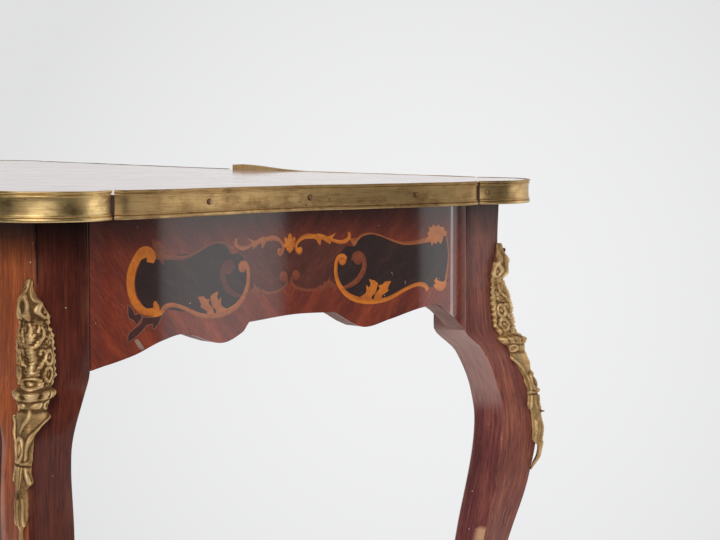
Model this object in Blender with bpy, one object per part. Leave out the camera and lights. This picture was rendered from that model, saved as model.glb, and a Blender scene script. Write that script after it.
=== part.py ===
"""Serpentine-topped occasional table with veneered aprons, cabriole legs and brass mounts.

Frame: metres, +Z up, origin on the floor under the middle of the top, long side along X.
Drops are measured down from the top surface, rises up from the floor.
"""
import math

import bmesh
import bpy
from mathutils import Vector

for old in list(bpy.data.objects):
    bpy.data.objects.remove(old, do_unlink=True)

# Clearance between pieces that touch
GAP = 0.0003

# Overall sizes, with the top measured across the crests of its side strips, and how much further
# the top stands out over the frame at its ends than at its long sides
HEIGHT = 0.750
TOP_LENGTH = 0.840
TOP_DEPTH = 0.534
END_REACH = 0.004

# Top panel
VENEER_THICK = 0.0012
CORE_THICK = 0.0165
END_HOLLOW = 0.018
LONG_HOLLOW = 0.016
LOBE_REACH = 0.077
LOBE_BULGE = 0.046
LOBE_STEPS = 12
CURL_RADIUS = 0.014
CURL_ANGLE = math.radians(50.0)
CURL_STEPS = 4
END_STEPS = 14
LONG_STEPS = 8

# Brass edge band
BAND_HEIGHT = 0.020
BAND_THICK = 0.0032
BAND_RELIEF = 0.0011
BAND_FIELD = 0.0014
BAND_ROUND = 0.0010
BAND_STEP = 0.0010
BAND_TOP_BEAD = 0.0014
BAND_LOW_BEAD = 0.0020
BAND_PROUD = 0.0005
NOTCH_GAP = 0.0025
SPRUNG_START = 0.0155
SPRUNG_LIFT = 0.0054
SPRUNG_LENGTH = 0.135
SPRUNG_GAP = 0.008

# Round-headed pins of the band's end strips
PIN_HEAD_RADIUS = 0.0019
PIN_HEAD_RISE = 0.0010
PIN_SHANK_RADIUS = 0.0007
PIN_LENGTH = 0.011
PIN_SIDES = 6
PIN_PLACES = (-0.545, 0.07, 0.655)

# Legs: the outer arris of the post, the two joint faces and the inner chamfer
ARRIS_INSET = 0.027
POST_WIDTH = 0.044
POST_SPLAY = 0.0045
POST_CHAMFER = 0.010
POST_DROP = 0.129
KNEE_DROP = 0.230
KNEE_TAIL = 0.084
ANKLE_RISE = 0.190
FOOT_CLEAR = 0.0040
LEG_STEP = 0.010
SHANK_STEP = 0.025

# Aprons
APRON_INSET = 0.0225
APRON_THICK = 0.0215
APRON_HOLLOW = 0.005
APRON_VENEER = 0.0015
APRON_STATIONS = 36
TENON_LENGTH = 0.024
TENON_ROOT = 0.006
TENON_THICK = 0.009
TENON_SETBACK = 0.006
TENON_SHOULDER = 0.012
PEG_RADIUS = 0.003
PEG_PITCH = 0.024
PEG_MARGIN = 0.010
PEG_SIDES = 8

# Corner blocks and their screws
BLOCK_LEG = 0.040
BLOCK_HEIGHT = 0.046
SCREW_HEAD_RADIUS = 0.0042
SCREW_HEAD_RISE = 0.0022
SCREW_SHANK_RADIUS = 0.0020
SCREW_BITE = 0.011
LEG_SCREW_BITE = 0.018
SCREW_SIDES = 8

# Shoulder of a domed head, as shares of its radius and rise
DOME = (0.70, 0.72)

# Bronze mounts
CHUTE_TOP_DROP = 0.056
CHUTE_END_DROP = 0.256
CHUTE_CLEAR = 0.0004
CHUTE_SINK = 0.0015
CHUTE_EDGE = 0.0014
CHUTE_RUNOUT = 0.030
SABOT_RISE = 0.066
SABOT_WALL = 0.0030
SABOT_FIT = 0.0006

LINE_X = TOP_LENGTH / 2 - END_REACH
LINE_Y = TOP_DEPTH / 2
CORE_TOP = HEIGHT - VENEER_THICK - GAP
CORE_BASE = CORE_TOP - CORE_THICK
FRAME_TOP = CORE_BASE - GAP
BAND_TOP = HEIGHT + BAND_PROUD
CORE_OFFSET = BAND_THICK + GAP
END_HALF = LINE_Y - ARRIS_INSET - POST_WIDTH
LONG_HALF = LINE_X - ARRIS_INSET - POST_WIDTH
PIN_DROP = BAND_HEIGHT / 2
ROOT2 = math.sqrt(2.0)
SHARP_ANGLE = math.radians(35.0)
BLOCK_BASE = FRAME_TOP - GAP - BLOCK_HEIGHT
BLOCK_INSET = ARRIS_INSET + POST_WIDTH + GAP
APRON_BACK = APRON_INSET + APRON_THICK

# Sides of the table: turn about Z, distance of the side line, half length between the legs,
# half length of the band's side between its notches, hollow of the top's edge, and its reach past the line
END_NOTCH = LINE_Y - LOBE_REACH
LONG_NOTCH = LINE_X + END_REACH - LOBE_REACH
SIDES = {
    "right": (0, LINE_X, END_HALF, END_NOTCH, END_HOLLOW, END_REACH),
    "back": (90, LINE_Y, LONG_HALF, LONG_NOTCH, LONG_HOLLOW, 0.0),
    "left": (180, LINE_X, END_HALF, END_NOTCH, END_HOLLOW, END_REACH),
    "front": (270, LINE_Y, LONG_HALF, LONG_NOTCH, LONG_HOLLOW, 0.0),
}

# Corners: signs of X and Y, and the end of each neighbouring side that meets there
CORNERS = {
    "front_right": (1, -1, (("right", -1), ("front", 1))),
    "back_right": (1, 1, (("right", 1), ("back", -1))),
    "back_left": (-1, 1, (("back", 1), ("left", -1))),
    "front_left": (-1, -1, (("left", 1), ("front", -1))),
}

# Leg template: knots of (drop, distance) for each arris, along the corner's diagonal and across it
TAIL_DROP = KNEE_DROP + KNEE_TAIL
ANKLE_DROP = HEIGHT - ANKLE_RISE
FOOT_DROP = HEIGHT - FOOT_CLEAR
KNEE_RUN = KNEE_DROP - POST_DROP
SHANK_MIDDLE = TAIL_DROP + 0.55 * (ANKLE_DROP - TAIL_DROP)
FOOT_MIDDLE = ANKLE_DROP + 0.59 * (FOOT_DROP - ANKLE_DROP)
POST_SIDE = -(POST_WIDTH - POST_SPLAY) / ROOT2
POST_HALF = (POST_WIDTH + POST_SPLAY) / ROOT2
POST_INNER = -(2 * POST_WIDTH - POST_CHAMFER) / ROOT2
LEG_OUTER = (
    (0.0, 0.003), (0.46 * POST_DROP, 0.001), (POST_DROP, 0.0095), (POST_DROP + 0.37 * KNEE_RUN, 0.0272),
    (POST_DROP + 0.58 * KNEE_RUN, 0.0338), (POST_DROP + 0.90 * KNEE_RUN, 0.0365),
    (KNEE_DROP + 0.39 * KNEE_TAIL, 0.0297), (TAIL_DROP, 0.0137), (SHANK_MIDDLE, -0.026),
    (ANKLE_DROP, -0.033), (FOOT_MIDDLE, -0.0235), (FOOT_DROP, -0.0085),
)
LEG_SIDE = (
    (0.0, POST_SIDE), (POST_DROP, POST_SIDE), (POST_DROP + 0.16 * KNEE_RUN, -0.0135),
    (POST_DROP + 0.37 * KNEE_RUN, 0.0005), (POST_DROP + 0.75 * KNEE_RUN, 0.0055), (KNEE_DROP, 0.0035),
    (TAIL_DROP, -0.0105), (SHANK_MIDDLE, -0.041), (ANKLE_DROP, -0.0465), (FOOT_MIDDLE, -0.036),
    (FOOT_DROP, -0.026),
)
LEG_HALF = (
    (0.0, POST_HALF), (POST_DROP, POST_HALF), (POST_DROP + 0.55 * KNEE_RUN, 0.0255),
    (POST_DROP + 1.10 * KNEE_RUN, 0.027), (TAIL_DROP, 0.025), (ANKLE_DROP, 0.0155), (FOOT_MIDDLE, 0.0145),
    (FOOT_DROP, 0.019),
)
LEG_INNER = (
    (0.0, POST_INNER), (POST_DROP, POST_INNER), (POST_DROP + 0.21 * KNEE_RUN, -0.036),
    (POST_DROP + 0.55 * KNEE_RUN, -0.0225), (POST_DROP + 0.80 * KNEE_RUN, -0.019), (TAIL_DROP, -0.0348),
    (SHANK_MIDDLE, -0.057), (ANKLE_DROP, -0.0605), (FOOT_MIDDLE, -0.050), (FOOT_DROP, -0.043),
)
LEG_INNER_HALF = (
    (0.0, POST_CHAMFER / ROOT2), (POST_DROP, POST_CHAMFER / ROOT2), (KNEE_DROP, 0.004), (FOOT_DROP, 0.003),
)

# Apron scallop: knots of (share of the half length, rise of the edge over its ends), in three runs, and
# the share of the half length in its lobe at either end
SCALLOP_LOBE = 0.58
SCALLOP = (
    (
        (-1.0, 0.0), (-0.80, 0.008), (-0.657, 0.017), (-0.563, 0.0203), (-0.355, 0.0102), (-0.25, 0.0168),
        (-0.214, 0.0243),
    ),
    ((-0.214, 0.0243), (0.05, 0.0271), (0.242, 0.0258)),
    (
        (0.242, 0.0258), (0.42, 0.0112), (0.554, 0.0159), (0.74, 0.0232), (0.81, 0.0246), (0.92, 0.0135),
        (1.0, 0.0),
    ),
)

# Chute template: knots of (drop below its tip, distance): its widths along the long side's face and the
# end's face of the leg, which differ below the ledge, and its height over the arris
CHUTE_LONG_WIDTH = (
    (0.0, 0.004), (0.018, 0.010), (0.040, 0.013), (0.072, 0.020), (0.092, 0.015), (0.102, 0.019),
    (0.112, 0.016), (0.150, 0.015), (0.200, 0.013),
)
CHUTE_END_WIDTH = (
    (0.0, 0.003), (0.018, 0.009), (0.040, 0.012), (0.072, 0.019), (0.092, 0.014), (0.102, 0.010),
    (0.112, 0.004), (0.200, 0.003),
)
CHUTE_HEIGHT = (
    (0.0, 0.004), (0.016, 0.012), (0.031, 0.006), (0.052, 0.009), (0.074, 0.009), (0.083, 0.016),
    (0.093, 0.011), (0.104, 0.008), (0.150, 0.0075), (0.164, 0.008), (0.182, 0.005), (0.200, 0.003),
)


def eased(knots, at):
    """Smooth curve through the knots that turns only at them."""
    last = len(knots) - 1
    at = min(max(at, knots[0][0]), knots[last][0])
    rises = [(b[1] - a[1]) / (b[0] - a[0]) for a, b in zip(knots, knots[1:])]
    slopes = [rises[0]]
    for before, after in zip(rises, rises[1:]):
        slopes.append(2 * before * after / (before + after) if before * after > 0 else 0.0)
    slopes.append(rises[-1])
    index = 0
    while index < last - 1 and at > knots[index + 1][0]:
        index += 1
    (x0, y0), (x1, y1) = knots[index], knots[index + 1]
    span = x1 - x0
    t = (at - x0) / span
    rise = (2 * t - 3) * t * t
    return (
        y0 * (1 + rise) - y1 * rise
        + span * t * (1 - t) * ((1 - t) * slopes[index] - t * slopes[index + 1])
    )


def side_place(side):
    """Placing function of a side: along it, inward from its line, and up."""
    turn = math.radians(SIDES[side][0])
    line = SIDES[side][1]
    cosine, sine = round(math.cos(turn)), round(math.sin(turn))

    def place(along, inward, up):
        out = line - inward
        return Vector((cosine * out - sine * along, sine * out + cosine * along, up))

    return place


def corner_place(corner):
    """Placing function of a corner: outward along its diagonal from the post's arris, across it, and up."""
    sign_x, sign_y = CORNERS[corner][:2]

    def place(out, across, up):
        return Vector((
            sign_x * (LINE_X - ARRIS_INSET + (out - across) / ROOT2),
            sign_y * (LINE_Y - ARRIS_INSET + (out + across) / ROOT2),
            up,
        ))

    return place


def material(name, colour, roughness, metallic):
    made = bpy.data.materials.new(name)
    made.use_nodes = True
    shader = made.node_tree.nodes["Principled BSDF"]
    shader.inputs["Base Color"].default_value = (*colour, 1.0)
    shader.inputs["Roughness"].default_value = roughness
    shader.inputs["Metallic"].default_value = metallic
    return made


def settle(name, bm, surface, smooth=True):
    """Turn a bmesh into a named object with outward faces."""
    bmesh.ops.recalc_face_normals(bm, faces=bm.faces)
    mesh = bpy.data.meshes.new(name)
    bm.to_mesh(mesh)
    bm.free()
    if smooth:
        mesh.shade_smooth()
        mesh.set_sharp_from_angle(angle=SHARP_ANGLE)
    mesh.materials.append(surface)
    made = bpy.data.objects.new(name, mesh)
    bpy.context.scene.collection.objects.link(made)
    return made


def combine(target, tool_bm, operation):
    """Apply a Boolean of the tool to the target and drop the tool."""
    bmesh.ops.recalc_face_normals(tool_bm, faces=tool_bm.faces)
    mesh = bpy.data.meshes.new("tool")
    tool_bm.to_mesh(mesh)
    tool_bm.free()
    tool = bpy.data.objects.new("tool", mesh)
    tool.hide_render = True
    tool.display_type = "WIRE"
    bpy.context.scene.collection.objects.link(tool)
    step = target.modifiers.new("combine", "BOOLEAN")
    step.operation = operation
    step.solver = "EXACT"
    step.object = tool
    graph = bpy.context.evaluated_depsgraph_get()
    carved = bpy.data.meshes.new_from_object(target.evaluated_get(graph))
    target.modifiers.clear()
    target.data = carved
    bpy.data.objects.remove(tool, do_unlink=True)


def add_loft(bm, rings):
    """Closed body through rings of equal point counts, in triangles, so that like lofts fit each other."""
    rows = [[bm.verts.new(point) for point in ring] for ring in rings]
    count = len(rows[0])
    for row, following in zip(rows, rows[1:]):
        for i in range(count):
            j = (i + 1) % count
            bm.faces.new((row[i], row[j], following[j]))
            bm.faces.new((row[i], following[j], following[i]))
    bm.faces.new(rows[0][::-1])
    bm.faces.new(rows[-1])


def add_prism(bm, outline, base, top):
    """Upright body over a flat outline."""
    add_loft(bm, [[Vector((x, y, level)) for x, y in outline] for level in (base, top)])


def add_block(bm, place, along, inward, up):
    """Box in a side's own directions, each given as a pair of ends."""
    rings = []
    for level in up:
        rings.append([
            place(along[0], inward[0], level), place(along[1], inward[0], level),
            place(along[1], inward[1], level), place(along[0], inward[1], level),
        ])
    add_loft(bm, rings)


def add_turned(bm, base, axis, profile, sides):
    """Closed turned body on an axis from (radius, height) points, with its two ends on the axis."""
    axis = axis.normalized()
    first = axis.orthogonal().normalized()
    second = axis.cross(first)
    rows = []
    for radius, height in profile[1:-1]:
        row = []
        for i in range(sides):
            turn = 2 * math.pi * i / sides
            spoke = first * math.cos(turn) + second * math.sin(turn)
            row.append(bm.verts.new(base + axis * height + spoke * radius))
        rows.append(row)
    start = bm.verts.new(base + axis * profile[0][1])
    end = bm.verts.new(base + axis * profile[-1][1])
    for i in range(sides):
        j = (i + 1) % sides
        bm.faces.new((start, rows[0][j], rows[0][i]))
        bm.faces.new((end, rows[-1][i], rows[-1][j]))
        for row, following in zip(rows, rows[1:]):
            bm.faces.new((row[i], row[j], following[j], following[i]))


def add_rod(bm, start, end, radius, sides):
    length = (end - start).length
    add_turned(bm, start, end - start, ((0, 0), (radius, 0), (radius, length), (0, length)), sides)


def add_headed(bm, seat, axis, head, shank, sides):
    """Pin or screw: a domed head over its seat and a shank below it, each given as (radius, length)."""
    profile = (
        (0, head[1]), (head[0] * DOME[0], head[1] * DOME[1]), (head[0], 0),
        (shank[0], 0), (shank[0], -shank[1]), (0, -shank[1]),
    )
    add_turned(bm, seat, axis, profile, sides)


def grown(ring, amount):
    """Flat convex ring of (x, y) points with each edge moved outward by an amount."""
    area = sum(a[0] * b[1] - b[0] * a[1] for a, b in zip(ring, ring[1:] + ring[:1]))
    turn = 1.0 if area > 0 else -1.0
    edges = []
    for a, b in zip(ring, ring[1:] + ring[:1]):
        along = Vector((b[0] - a[0], b[1] - a[1])).normalized()
        normal = Vector((along.y, -along.x)) * turn
        edges.append((normal, normal.dot(Vector(a)) + amount))
    moved = []
    for (n0, c0), (n1, c1) in zip(edges[-1:] + edges[:-1], edges):
        cross = n0.x * n1.y - n0.y * n1.x
        moved.append(((c0 * n1.y - c1 * n0.y) / cross, (n0.x * c1 - n1.x * c0) / cross))
    return moved


# Outline of the top: paths of (point, outward normal) for each strip of the band
def side_inset(side, along):
    """Distance of the top's edge inward from its side line."""
    crest = SIDES[side][3] - CURL_RADIUS * math.sin(CURL_ANGLE)
    return SIDES[side][4] * (1 + math.cos(math.pi * along / crest)) / 2


def edge_point(side, along):
    """Point of the top's edge, and its outward normal, with the curled ends past the crests."""
    place = side_place(side)
    crest = SIDES[side][3] - CURL_RADIUS * math.sin(CURL_ANGLE)
    if abs(along) <= crest:
        step = 1e-5
        lean = (side_inset(side, along + step) - side_inset(side, along - step)) / (2 * step)
        inset = side_inset(side, along)
        normal = Vector((lean, -1.0)).normalized()
    else:
        reach = min((abs(along) - crest) / CURL_RADIUS, math.sin(CURL_ANGLE))
        turn = math.asin(reach)
        inset = CURL_RADIUS * (1 - math.cos(turn))
        normal = Vector((math.copysign(reach, along), -math.cos(turn)))
    inset -= SIDES[side][5]
    point = place(along, inset, 0)
    return point, place(along + normal.x, inset + normal.y, 0) - point


def side_path(side, start, end, steps):
    """Path along a side between two places from its middle, with even curls where it runs to a notch."""
    half = SIDES[side][3]
    crest = half - CURL_RADIUS * math.sin(CURL_ANGLE)
    path = [start + (end - start) * i / steps for i in range(steps + 1)]
    for sign, outer in ((-1, start <= -half), (1, end >= half)):
        if outer:
            path = [along for along in path if sign * along < crest]
            curl_end = CURL_ANGLE - NOTCH_GAP / CURL_RADIUS
            turns = [curl_end * i / CURL_STEPS for i in range(CURL_STEPS + 1)]
            path += [sign * (crest + CURL_RADIUS * math.sin(turn)) for turn in turns]
    return [edge_point(side, along) for along in sorted(path)]


def lobe_path(corner):
    """Arc of a corner lobe between the notches at its two neighbouring sides."""
    sign_x, sign_y = CORNERS[corner][:2]
    curl_depth = CURL_RADIUS * (1 - math.cos(CURL_ANGLE))
    half_chord = (LOBE_REACH - curl_depth) / ROOT2
    radius = (half_chord ** 2 + LOBE_BULGE ** 2) / (2 * LOBE_BULGE)
    sweep = math.acos((radius - LOBE_BULGE) / radius) - NOTCH_GAP / radius
    middle = (LOBE_REACH + curl_depth) / 2 + (radius - LOBE_BULGE) / ROOT2
    path = []
    for i in range(LOBE_STEPS + 1):
        turn = math.pi / 4 + sweep * (2 * i / LOBE_STEPS - 1)
        normal = Vector((sign_x * math.cos(turn), sign_y * math.sin(turn), 0))
        centre = Vector((sign_x * (LINE_X + END_REACH - middle), sign_y * (LINE_Y - middle), 0))
        path.append((centre + normal * radius, normal))
    return path if sign_x * sign_y > 0 else path[::-1]


def band_profile():
    """Section of the band: (outward, drop) points down its moulded face and up its back."""
    upper = BAND_ROUND + BAND_TOP_BEAD
    lower = BAND_HEIGHT - BAND_ROUND - BAND_LOW_BEAD
    return (
        (-BAND_RELIEF, 0), (0, BAND_ROUND), (0, upper), (-BAND_RELIEF, upper + BAND_STEP),
        (-BAND_FIELD, BAND_HEIGHT / 2), (-BAND_RELIEF, lower - BAND_STEP), (0, lower),
        (0, BAND_HEIGHT - BAND_ROUND), (-BAND_RELIEF, BAND_HEIGHT),
        (-BAND_THICK, BAND_HEIGHT), (-BAND_THICK, 0),
    )


def strip(name, path, surface, lift=None):
    """One strip of the band, swept along its path."""
    bm = bmesh.new()
    rings = []
    for point, normal in path:
        rise = lift(point) if lift else 0.0
        rings.append([
            point + normal * out + Vector((0, 0, BAND_TOP - drop + rise)) for out, drop in band_profile()
        ])
    add_loft(bm, rings)
    return settle(name, bm, surface)


def sprung(point):
    """Rise of the loose strip's free end, which is next to the middle of the back."""
    reach = min(max((point.x - SPRUNG_START) / SPRUNG_LENGTH, 0.0), 1.0)
    return SPRUNG_LIFT * (1 - reach ** 2) ** 2


def build_band(surface):
    """Strips of the band, the outline that they follow, and the pin spots of the end strips."""
    strips = {}
    outline = []
    spots = {}
    for corner, side in zip(CORNERS, SIDES):
        paths = {"band_lobe_" + corner: lobe_path(corner)}
        if side in ("right", "left"):
            name = "band_end_" + side
            paths[name] = side_path(side, -END_NOTCH, END_NOTCH, END_STEPS)
            crest = SIDES[side][3] - CURL_RADIUS * math.sin(CURL_ANGLE)
            spots[name] = [edge_point(side, share * crest) for share in PIN_PLACES]
        else:
            joint = (-SPRUNG_START, SPRUNG_GAP - SPRUNG_START) if side == "back" else (-GAP, GAP)
            paths["band_%s_first" % side] = side_path(side, -LONG_NOTCH, joint[0], LONG_STEPS)
            paths["band_%s_second" % side] = side_path(side, joint[1], LONG_NOTCH, LONG_STEPS)
        for name, path in paths.items():
            strips[name] = strip(name, path, surface, sprung if name == "band_back_first" else None)
            outline += path
    return strips, outline, spots


def pin_seat(spot):
    """Seat of a band pin's head, clear of the strip's hollow field."""
    point, normal = spot
    seat = point + normal * (2 * GAP - BAND_FIELD)
    return Vector((seat.x, seat.y, BAND_TOP - PIN_DROP))


def add_pin_hole(bm, seat, normal):
    """Square hole for a pin's shank, through a strip and into what is behind it."""
    radius = (PIN_SHANK_RADIUS + GAP) * ROOT2
    add_rod(bm, seat + normal * PIN_HEAD_RISE, seat - normal * (PIN_LENGTH + GAP), radius, 4)


def build_top(band_outline, spots, wood, veneer):
    """Core and veneer of the top panel, inside the band."""
    ring = [point - normal * CORE_OFFSET for point, normal in band_outline]
    ring = [(point.x, point.y) for point in ring]
    bm = bmesh.new()
    add_prism(bm, ring, CORE_BASE, CORE_TOP)
    core = settle("top_core", bm, wood, smooth=False)
    holes = bmesh.new()
    for places in spots.values():
        for spot in places:
            add_pin_hole(holes, pin_seat(spot), spot[1])
    for corner in CORNERS:
        spot = top_screw_seat(corner)
        start = Vector((spot.x, spot.y, CORE_BASE - CORE_THICK))
        end = Vector((spot.x, spot.y, CORE_BASE + SCREW_BITE + GAP))
        add_rod(holes, start, end, SCREW_SHANK_RADIUS + GAP, SCREW_SIDES)
    combine(core, holes, "DIFFERENCE")
    bm = bmesh.new()
    add_prism(bm, ring, CORE_TOP + GAP, HEIGHT)
    settle("top_veneer", bm, veneer, smooth=False)


def apron_front(side, along):
    """Inset of an apron's face from its side line."""
    half = SIDES[side][2]
    return APRON_INSET + APRON_HOLLOW * (1 + math.cos(math.pi * along / half)) / 2


def scallop_place(side, share):
    """Place along an apron of a share of its scallop. Long sides mirror it and lengthen its middle."""
    half = SIDES[side][2] - GAP
    if side in ("right", "left"):
        return share * half
    lobe = SCALLOP_LOBE * END_HALF
    reach = abs(share)
    if reach > 1 - SCALLOP_LOBE:
        place = half - (1 - reach) * END_HALF
    else:
        place = reach / (1 - SCALLOP_LOBE) * (half - lobe)
    return -math.copysign(place, share)


def scallop_rise(share):
    """Rise of the scalloped edge over its ends."""
    for run in SCALLOP:
        if share <= run[-1][0]:
            return eased(run, share)
    return 0.0


def apron_stations(side):
    """Places along an apron and heights of its lower edge there, with one at each corner of its scallop."""
    shares = {2 * i / APRON_STATIONS - 1 for i in range(APRON_STATIONS + 1)}
    shares |= {run[0][0] for run in SCALLOP}
    return sorted((scallop_place(side, share), HEIGHT - POST_DROP + scallop_rise(share)) for share in shares)


def tenon_spans(side, sign, clear):
    """Spans of a tenon, or of its mortise with a clearance, at one end of an apron."""
    half = SIDES[side][2]
    along = sorted((sign * (half - TENON_ROOT), sign * (half + TENON_LENGTH + clear)))
    face = APRON_INSET + TENON_SETBACK
    inward = (face - clear, face + TENON_THICK + clear)
    up = (HEIGHT - POST_DROP + TENON_SHOULDER - clear, FRAME_TOP - TENON_SHOULDER + clear)
    return along, inward, up


def peg_rod(side, sign):
    """Axis of a tenon's peg, from the post's inner face to near its outer face."""
    place = side_place(side)
    along = sign * (SIDES[side][2] + TENON_LENGTH / 2)
    level = HEIGHT - POST_DROP + TENON_SHOULDER + PEG_MARGIN
    if side in ("right", "left"):
        level += PEG_PITCH
    return place(along, ARRIS_INSET + POST_WIDTH, level), place(along, ARRIS_INSET + PEG_RADIUS, level)


def add_peg_hole(bm, rod):
    start, end = rod
    axis = (end - start).normalized()
    add_rod(bm, start - axis * PEG_RADIUS, end + axis * GAP, PEG_RADIUS + GAP, PEG_SIDES)


def build_apron(side, wood, veneer):
    """Core of an apron with its tenons, and the veneer on its face."""
    place = side_place(side)
    top = FRAME_TOP
    core = bmesh.new()
    skin = bmesh.new()
    core_rings = []
    skin_rings = []
    for along, low in apron_stations(side):
        face = apron_front(side, along)
        skin_back = face + APRON_VENEER
        core_face = skin_back + GAP
        core_rings.append([
            place(along, core_face, top), place(along, core_face, low),
            place(along, APRON_BACK, low), place(along, APRON_BACK, top),
        ])
        skin_rings.append([
            place(along, face, top), place(along, face, low),
            place(along, skin_back, low), place(along, skin_back, top),
        ])
    add_loft(core, core_rings)
    add_loft(skin, skin_rings)
    body = settle("apron_" + side, core, wood, smooth=False)
    tenons = bmesh.new()
    holes = bmesh.new()
    for sign in (-1, 1):
        add_block(tenons, place, *tenon_spans(side, sign, 0))
        add_peg_hole(holes, peg_rod(side, sign))
    combine(body, tenons, "UNION")
    combine(body, holes, "DIFFERENCE")
    settle("apron_veneer_" + side, skin, veneer)


def leg_ring(drop):
    """Flat section of a leg: (outward, across) points from the outer arris round to the side."""
    outer = eased(LEG_OUTER, drop)
    side = eased(LEG_SIDE, drop)
    half = eased(LEG_HALF, drop)
    inner = eased(LEG_INNER, drop)
    inner_half = eased(LEG_INNER_HALF, drop)
    return [(outer, 0.0), (side, half), (inner, inner_half), (inner, -inner_half), (side, -half)]


def leg_drops():
    """Heights of a leg's sections, closer together down to below the knee."""
    start = HEIGHT - FRAME_TOP
    fine = max(CHUTE_END_DROP, TAIL_DROP)
    count = round((fine - start) / LEG_STEP)
    drops = [start + (fine - start) * i / count for i in range(count + 1)]
    steps = round((FOOT_DROP - fine) / SHANK_STEP)
    drops += [fine + (FOOT_DROP - fine) * i / steps for i in range(1, steps + 1)]
    return drops


def leg_facet(drop):
    """Section of a leg as its flat facets make it, between two of its own sections."""
    drops = leg_drops()
    index = max(i for i in range(len(drops) - 1) if i == 0 or drops[i] <= drop)
    share = (drop - drops[index]) / (drops[index + 1] - drops[index])
    pairs = zip(leg_ring(drops[index]), leg_ring(drops[index + 1]))
    return [tuple(Vector(a).lerp(Vector(b), share)) for a, b in pairs]


def build_leg(corner, wood):
    """Cabriole leg with the mortises, peg holes and screw hole of its post."""
    place = corner_place(corner)
    bm = bmesh.new()
    rings = []
    for drop in leg_drops():
        rings.append([place(out, across, HEIGHT - drop) for out, across in leg_ring(drop)])
    add_loft(bm, rings)
    leg = settle("leg_" + corner, bm, wood)
    slots = bmesh.new()
    holes = bmesh.new()
    for side, sign in CORNERS[corner][2]:
        add_block(slots, side_place(side), *tenon_spans(side, sign, GAP))
        add_peg_hole(holes, peg_rod(side, sign))
    seat, axis = leg_screw_spot(corner)
    add_rod(holes, seat, seat - axis * (leg_screw_length() + GAP), SCREW_SHANK_RADIUS + GAP, SCREW_SIDES)
    combine(leg, slots, "DIFFERENCE")
    combine(leg, holes, "DIFFERENCE")


def block_outline(corner):
    """Plan of a corner block that fits round the post's inner chamfer, between the two aprons."""
    near = APRON_BACK + GAP
    far = BLOCK_INSET + BLOCK_LEG
    notch = BLOCK_INSET - POST_CHAMFER + GAP
    corner_points = (
        (near, BLOCK_INSET), (near, far), (far, near), (BLOCK_INSET, near),
        (BLOCK_INSET, notch), (notch, BLOCK_INSET),
    )
    sign_x, sign_y = CORNERS[corner][:2]
    return [(sign_x * (LINE_X - a), sign_y * (LINE_Y - b)) for a, b in corner_points]


def block_slope():
    """Distance of a corner block's long face from the post's arris, along the diagonal."""
    return (APRON_BACK + BLOCK_INSET + GAP + BLOCK_LEG - 2 * ARRIS_INSET) / ROOT2


def leg_screw_length():
    return block_slope() + POST_INNER + LEG_SCREW_BITE


def leg_screw_spot(corner):
    """Seat and direction of the screw that draws a corner block to its leg."""
    place = corner_place(corner)
    level = BLOCK_BASE + BLOCK_HEIGHT / 2
    seat = place(-block_slope() - GAP, 0, level)
    return seat, (seat - place(0, 0, level)).normalized()


def top_screw_seat(corner):
    """Seat of the screw that holds the top down through a corner block."""
    sign_x, sign_y = CORNERS[corner][:2]
    near = APRON_BACK + BLOCK_LEG / 4
    far = BLOCK_INSET + BLOCK_LEG / 3
    return Vector((sign_x * (LINE_X - near), sign_y * (LINE_Y - far), BLOCK_BASE - GAP))


def build_block(corner, wood):
    bm = bmesh.new()
    add_prism(bm, block_outline(corner), BLOCK_BASE, BLOCK_BASE + BLOCK_HEIGHT)
    block = settle("corner_block_" + corner, bm, wood, smooth=False)
    holes = bmesh.new()
    radius = SCREW_SHANK_RADIUS + GAP
    seat, axis = leg_screw_spot(corner)
    add_rod(holes, seat + axis * SCREW_HEAD_RISE, seat - axis * leg_screw_length(), radius, SCREW_SIDES)
    spot = top_screw_seat(corner)
    up = Vector((0, 0, 1))
    add_rod(holes, spot - up * SCREW_HEAD_RISE, spot + up * (BLOCK_HEIGHT + CORE_THICK), radius, SCREW_SIDES)
    combine(block, holes, "DIFFERENCE")


def face_point(drop, reach, lift):
    """Point over a leg's outer face: a distance from the arris along it and a height off it."""
    outer, side = leg_facet(drop)[:2]
    along = Vector((side[0] - outer[0], side[1] - outer[1])).normalized()
    normal = Vector((along.y, -along.x))
    spot = Vector(outer) + along * reach + normal * lift
    return spot.x, spot.y


def arris_point(drop, lift):
    """Point in front of a leg's outer arris at a height off its two faces."""
    outer, side = leg_facet(drop)[:2]
    along = Vector((side[0] - outer[0], side[1] - outer[1])).normalized()
    return outer[0] + lift / along.y, 0.0


def chute_flank(drop, widths, height):
    """Points of a chute's flank over a face, from its sunk edge to half way up its relief."""
    width = eased(widths, drop - CHUTE_TOP_DROP)
    return [
        face_point(drop, width, -CHUTE_SINK),
        face_point(drop, width, CHUTE_CLEAR + CHUTE_EDGE),
        face_point(drop, width / 2, CHUTE_CLEAR + (CHUTE_EDGE + height) / 2),
    ]


def chute_ring(drop):
    """Section of a chute: a back that sinks into the leg, which is cut out of it, and its raised front."""
    height = eased(CHUTE_HEIGHT, drop - CHUTE_TOP_DROP)
    ring = [arris_point(drop, -CHUTE_SINK)]
    ring += chute_flank(drop, CHUTE_LONG_WIDTH, height)
    ring.append((arris_point(drop, CHUTE_CLEAR)[0] + height, 0.0))
    ring += [(out, -across) for out, across in reversed(chute_flank(drop, CHUTE_END_WIDTH, height))]
    return ring


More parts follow.
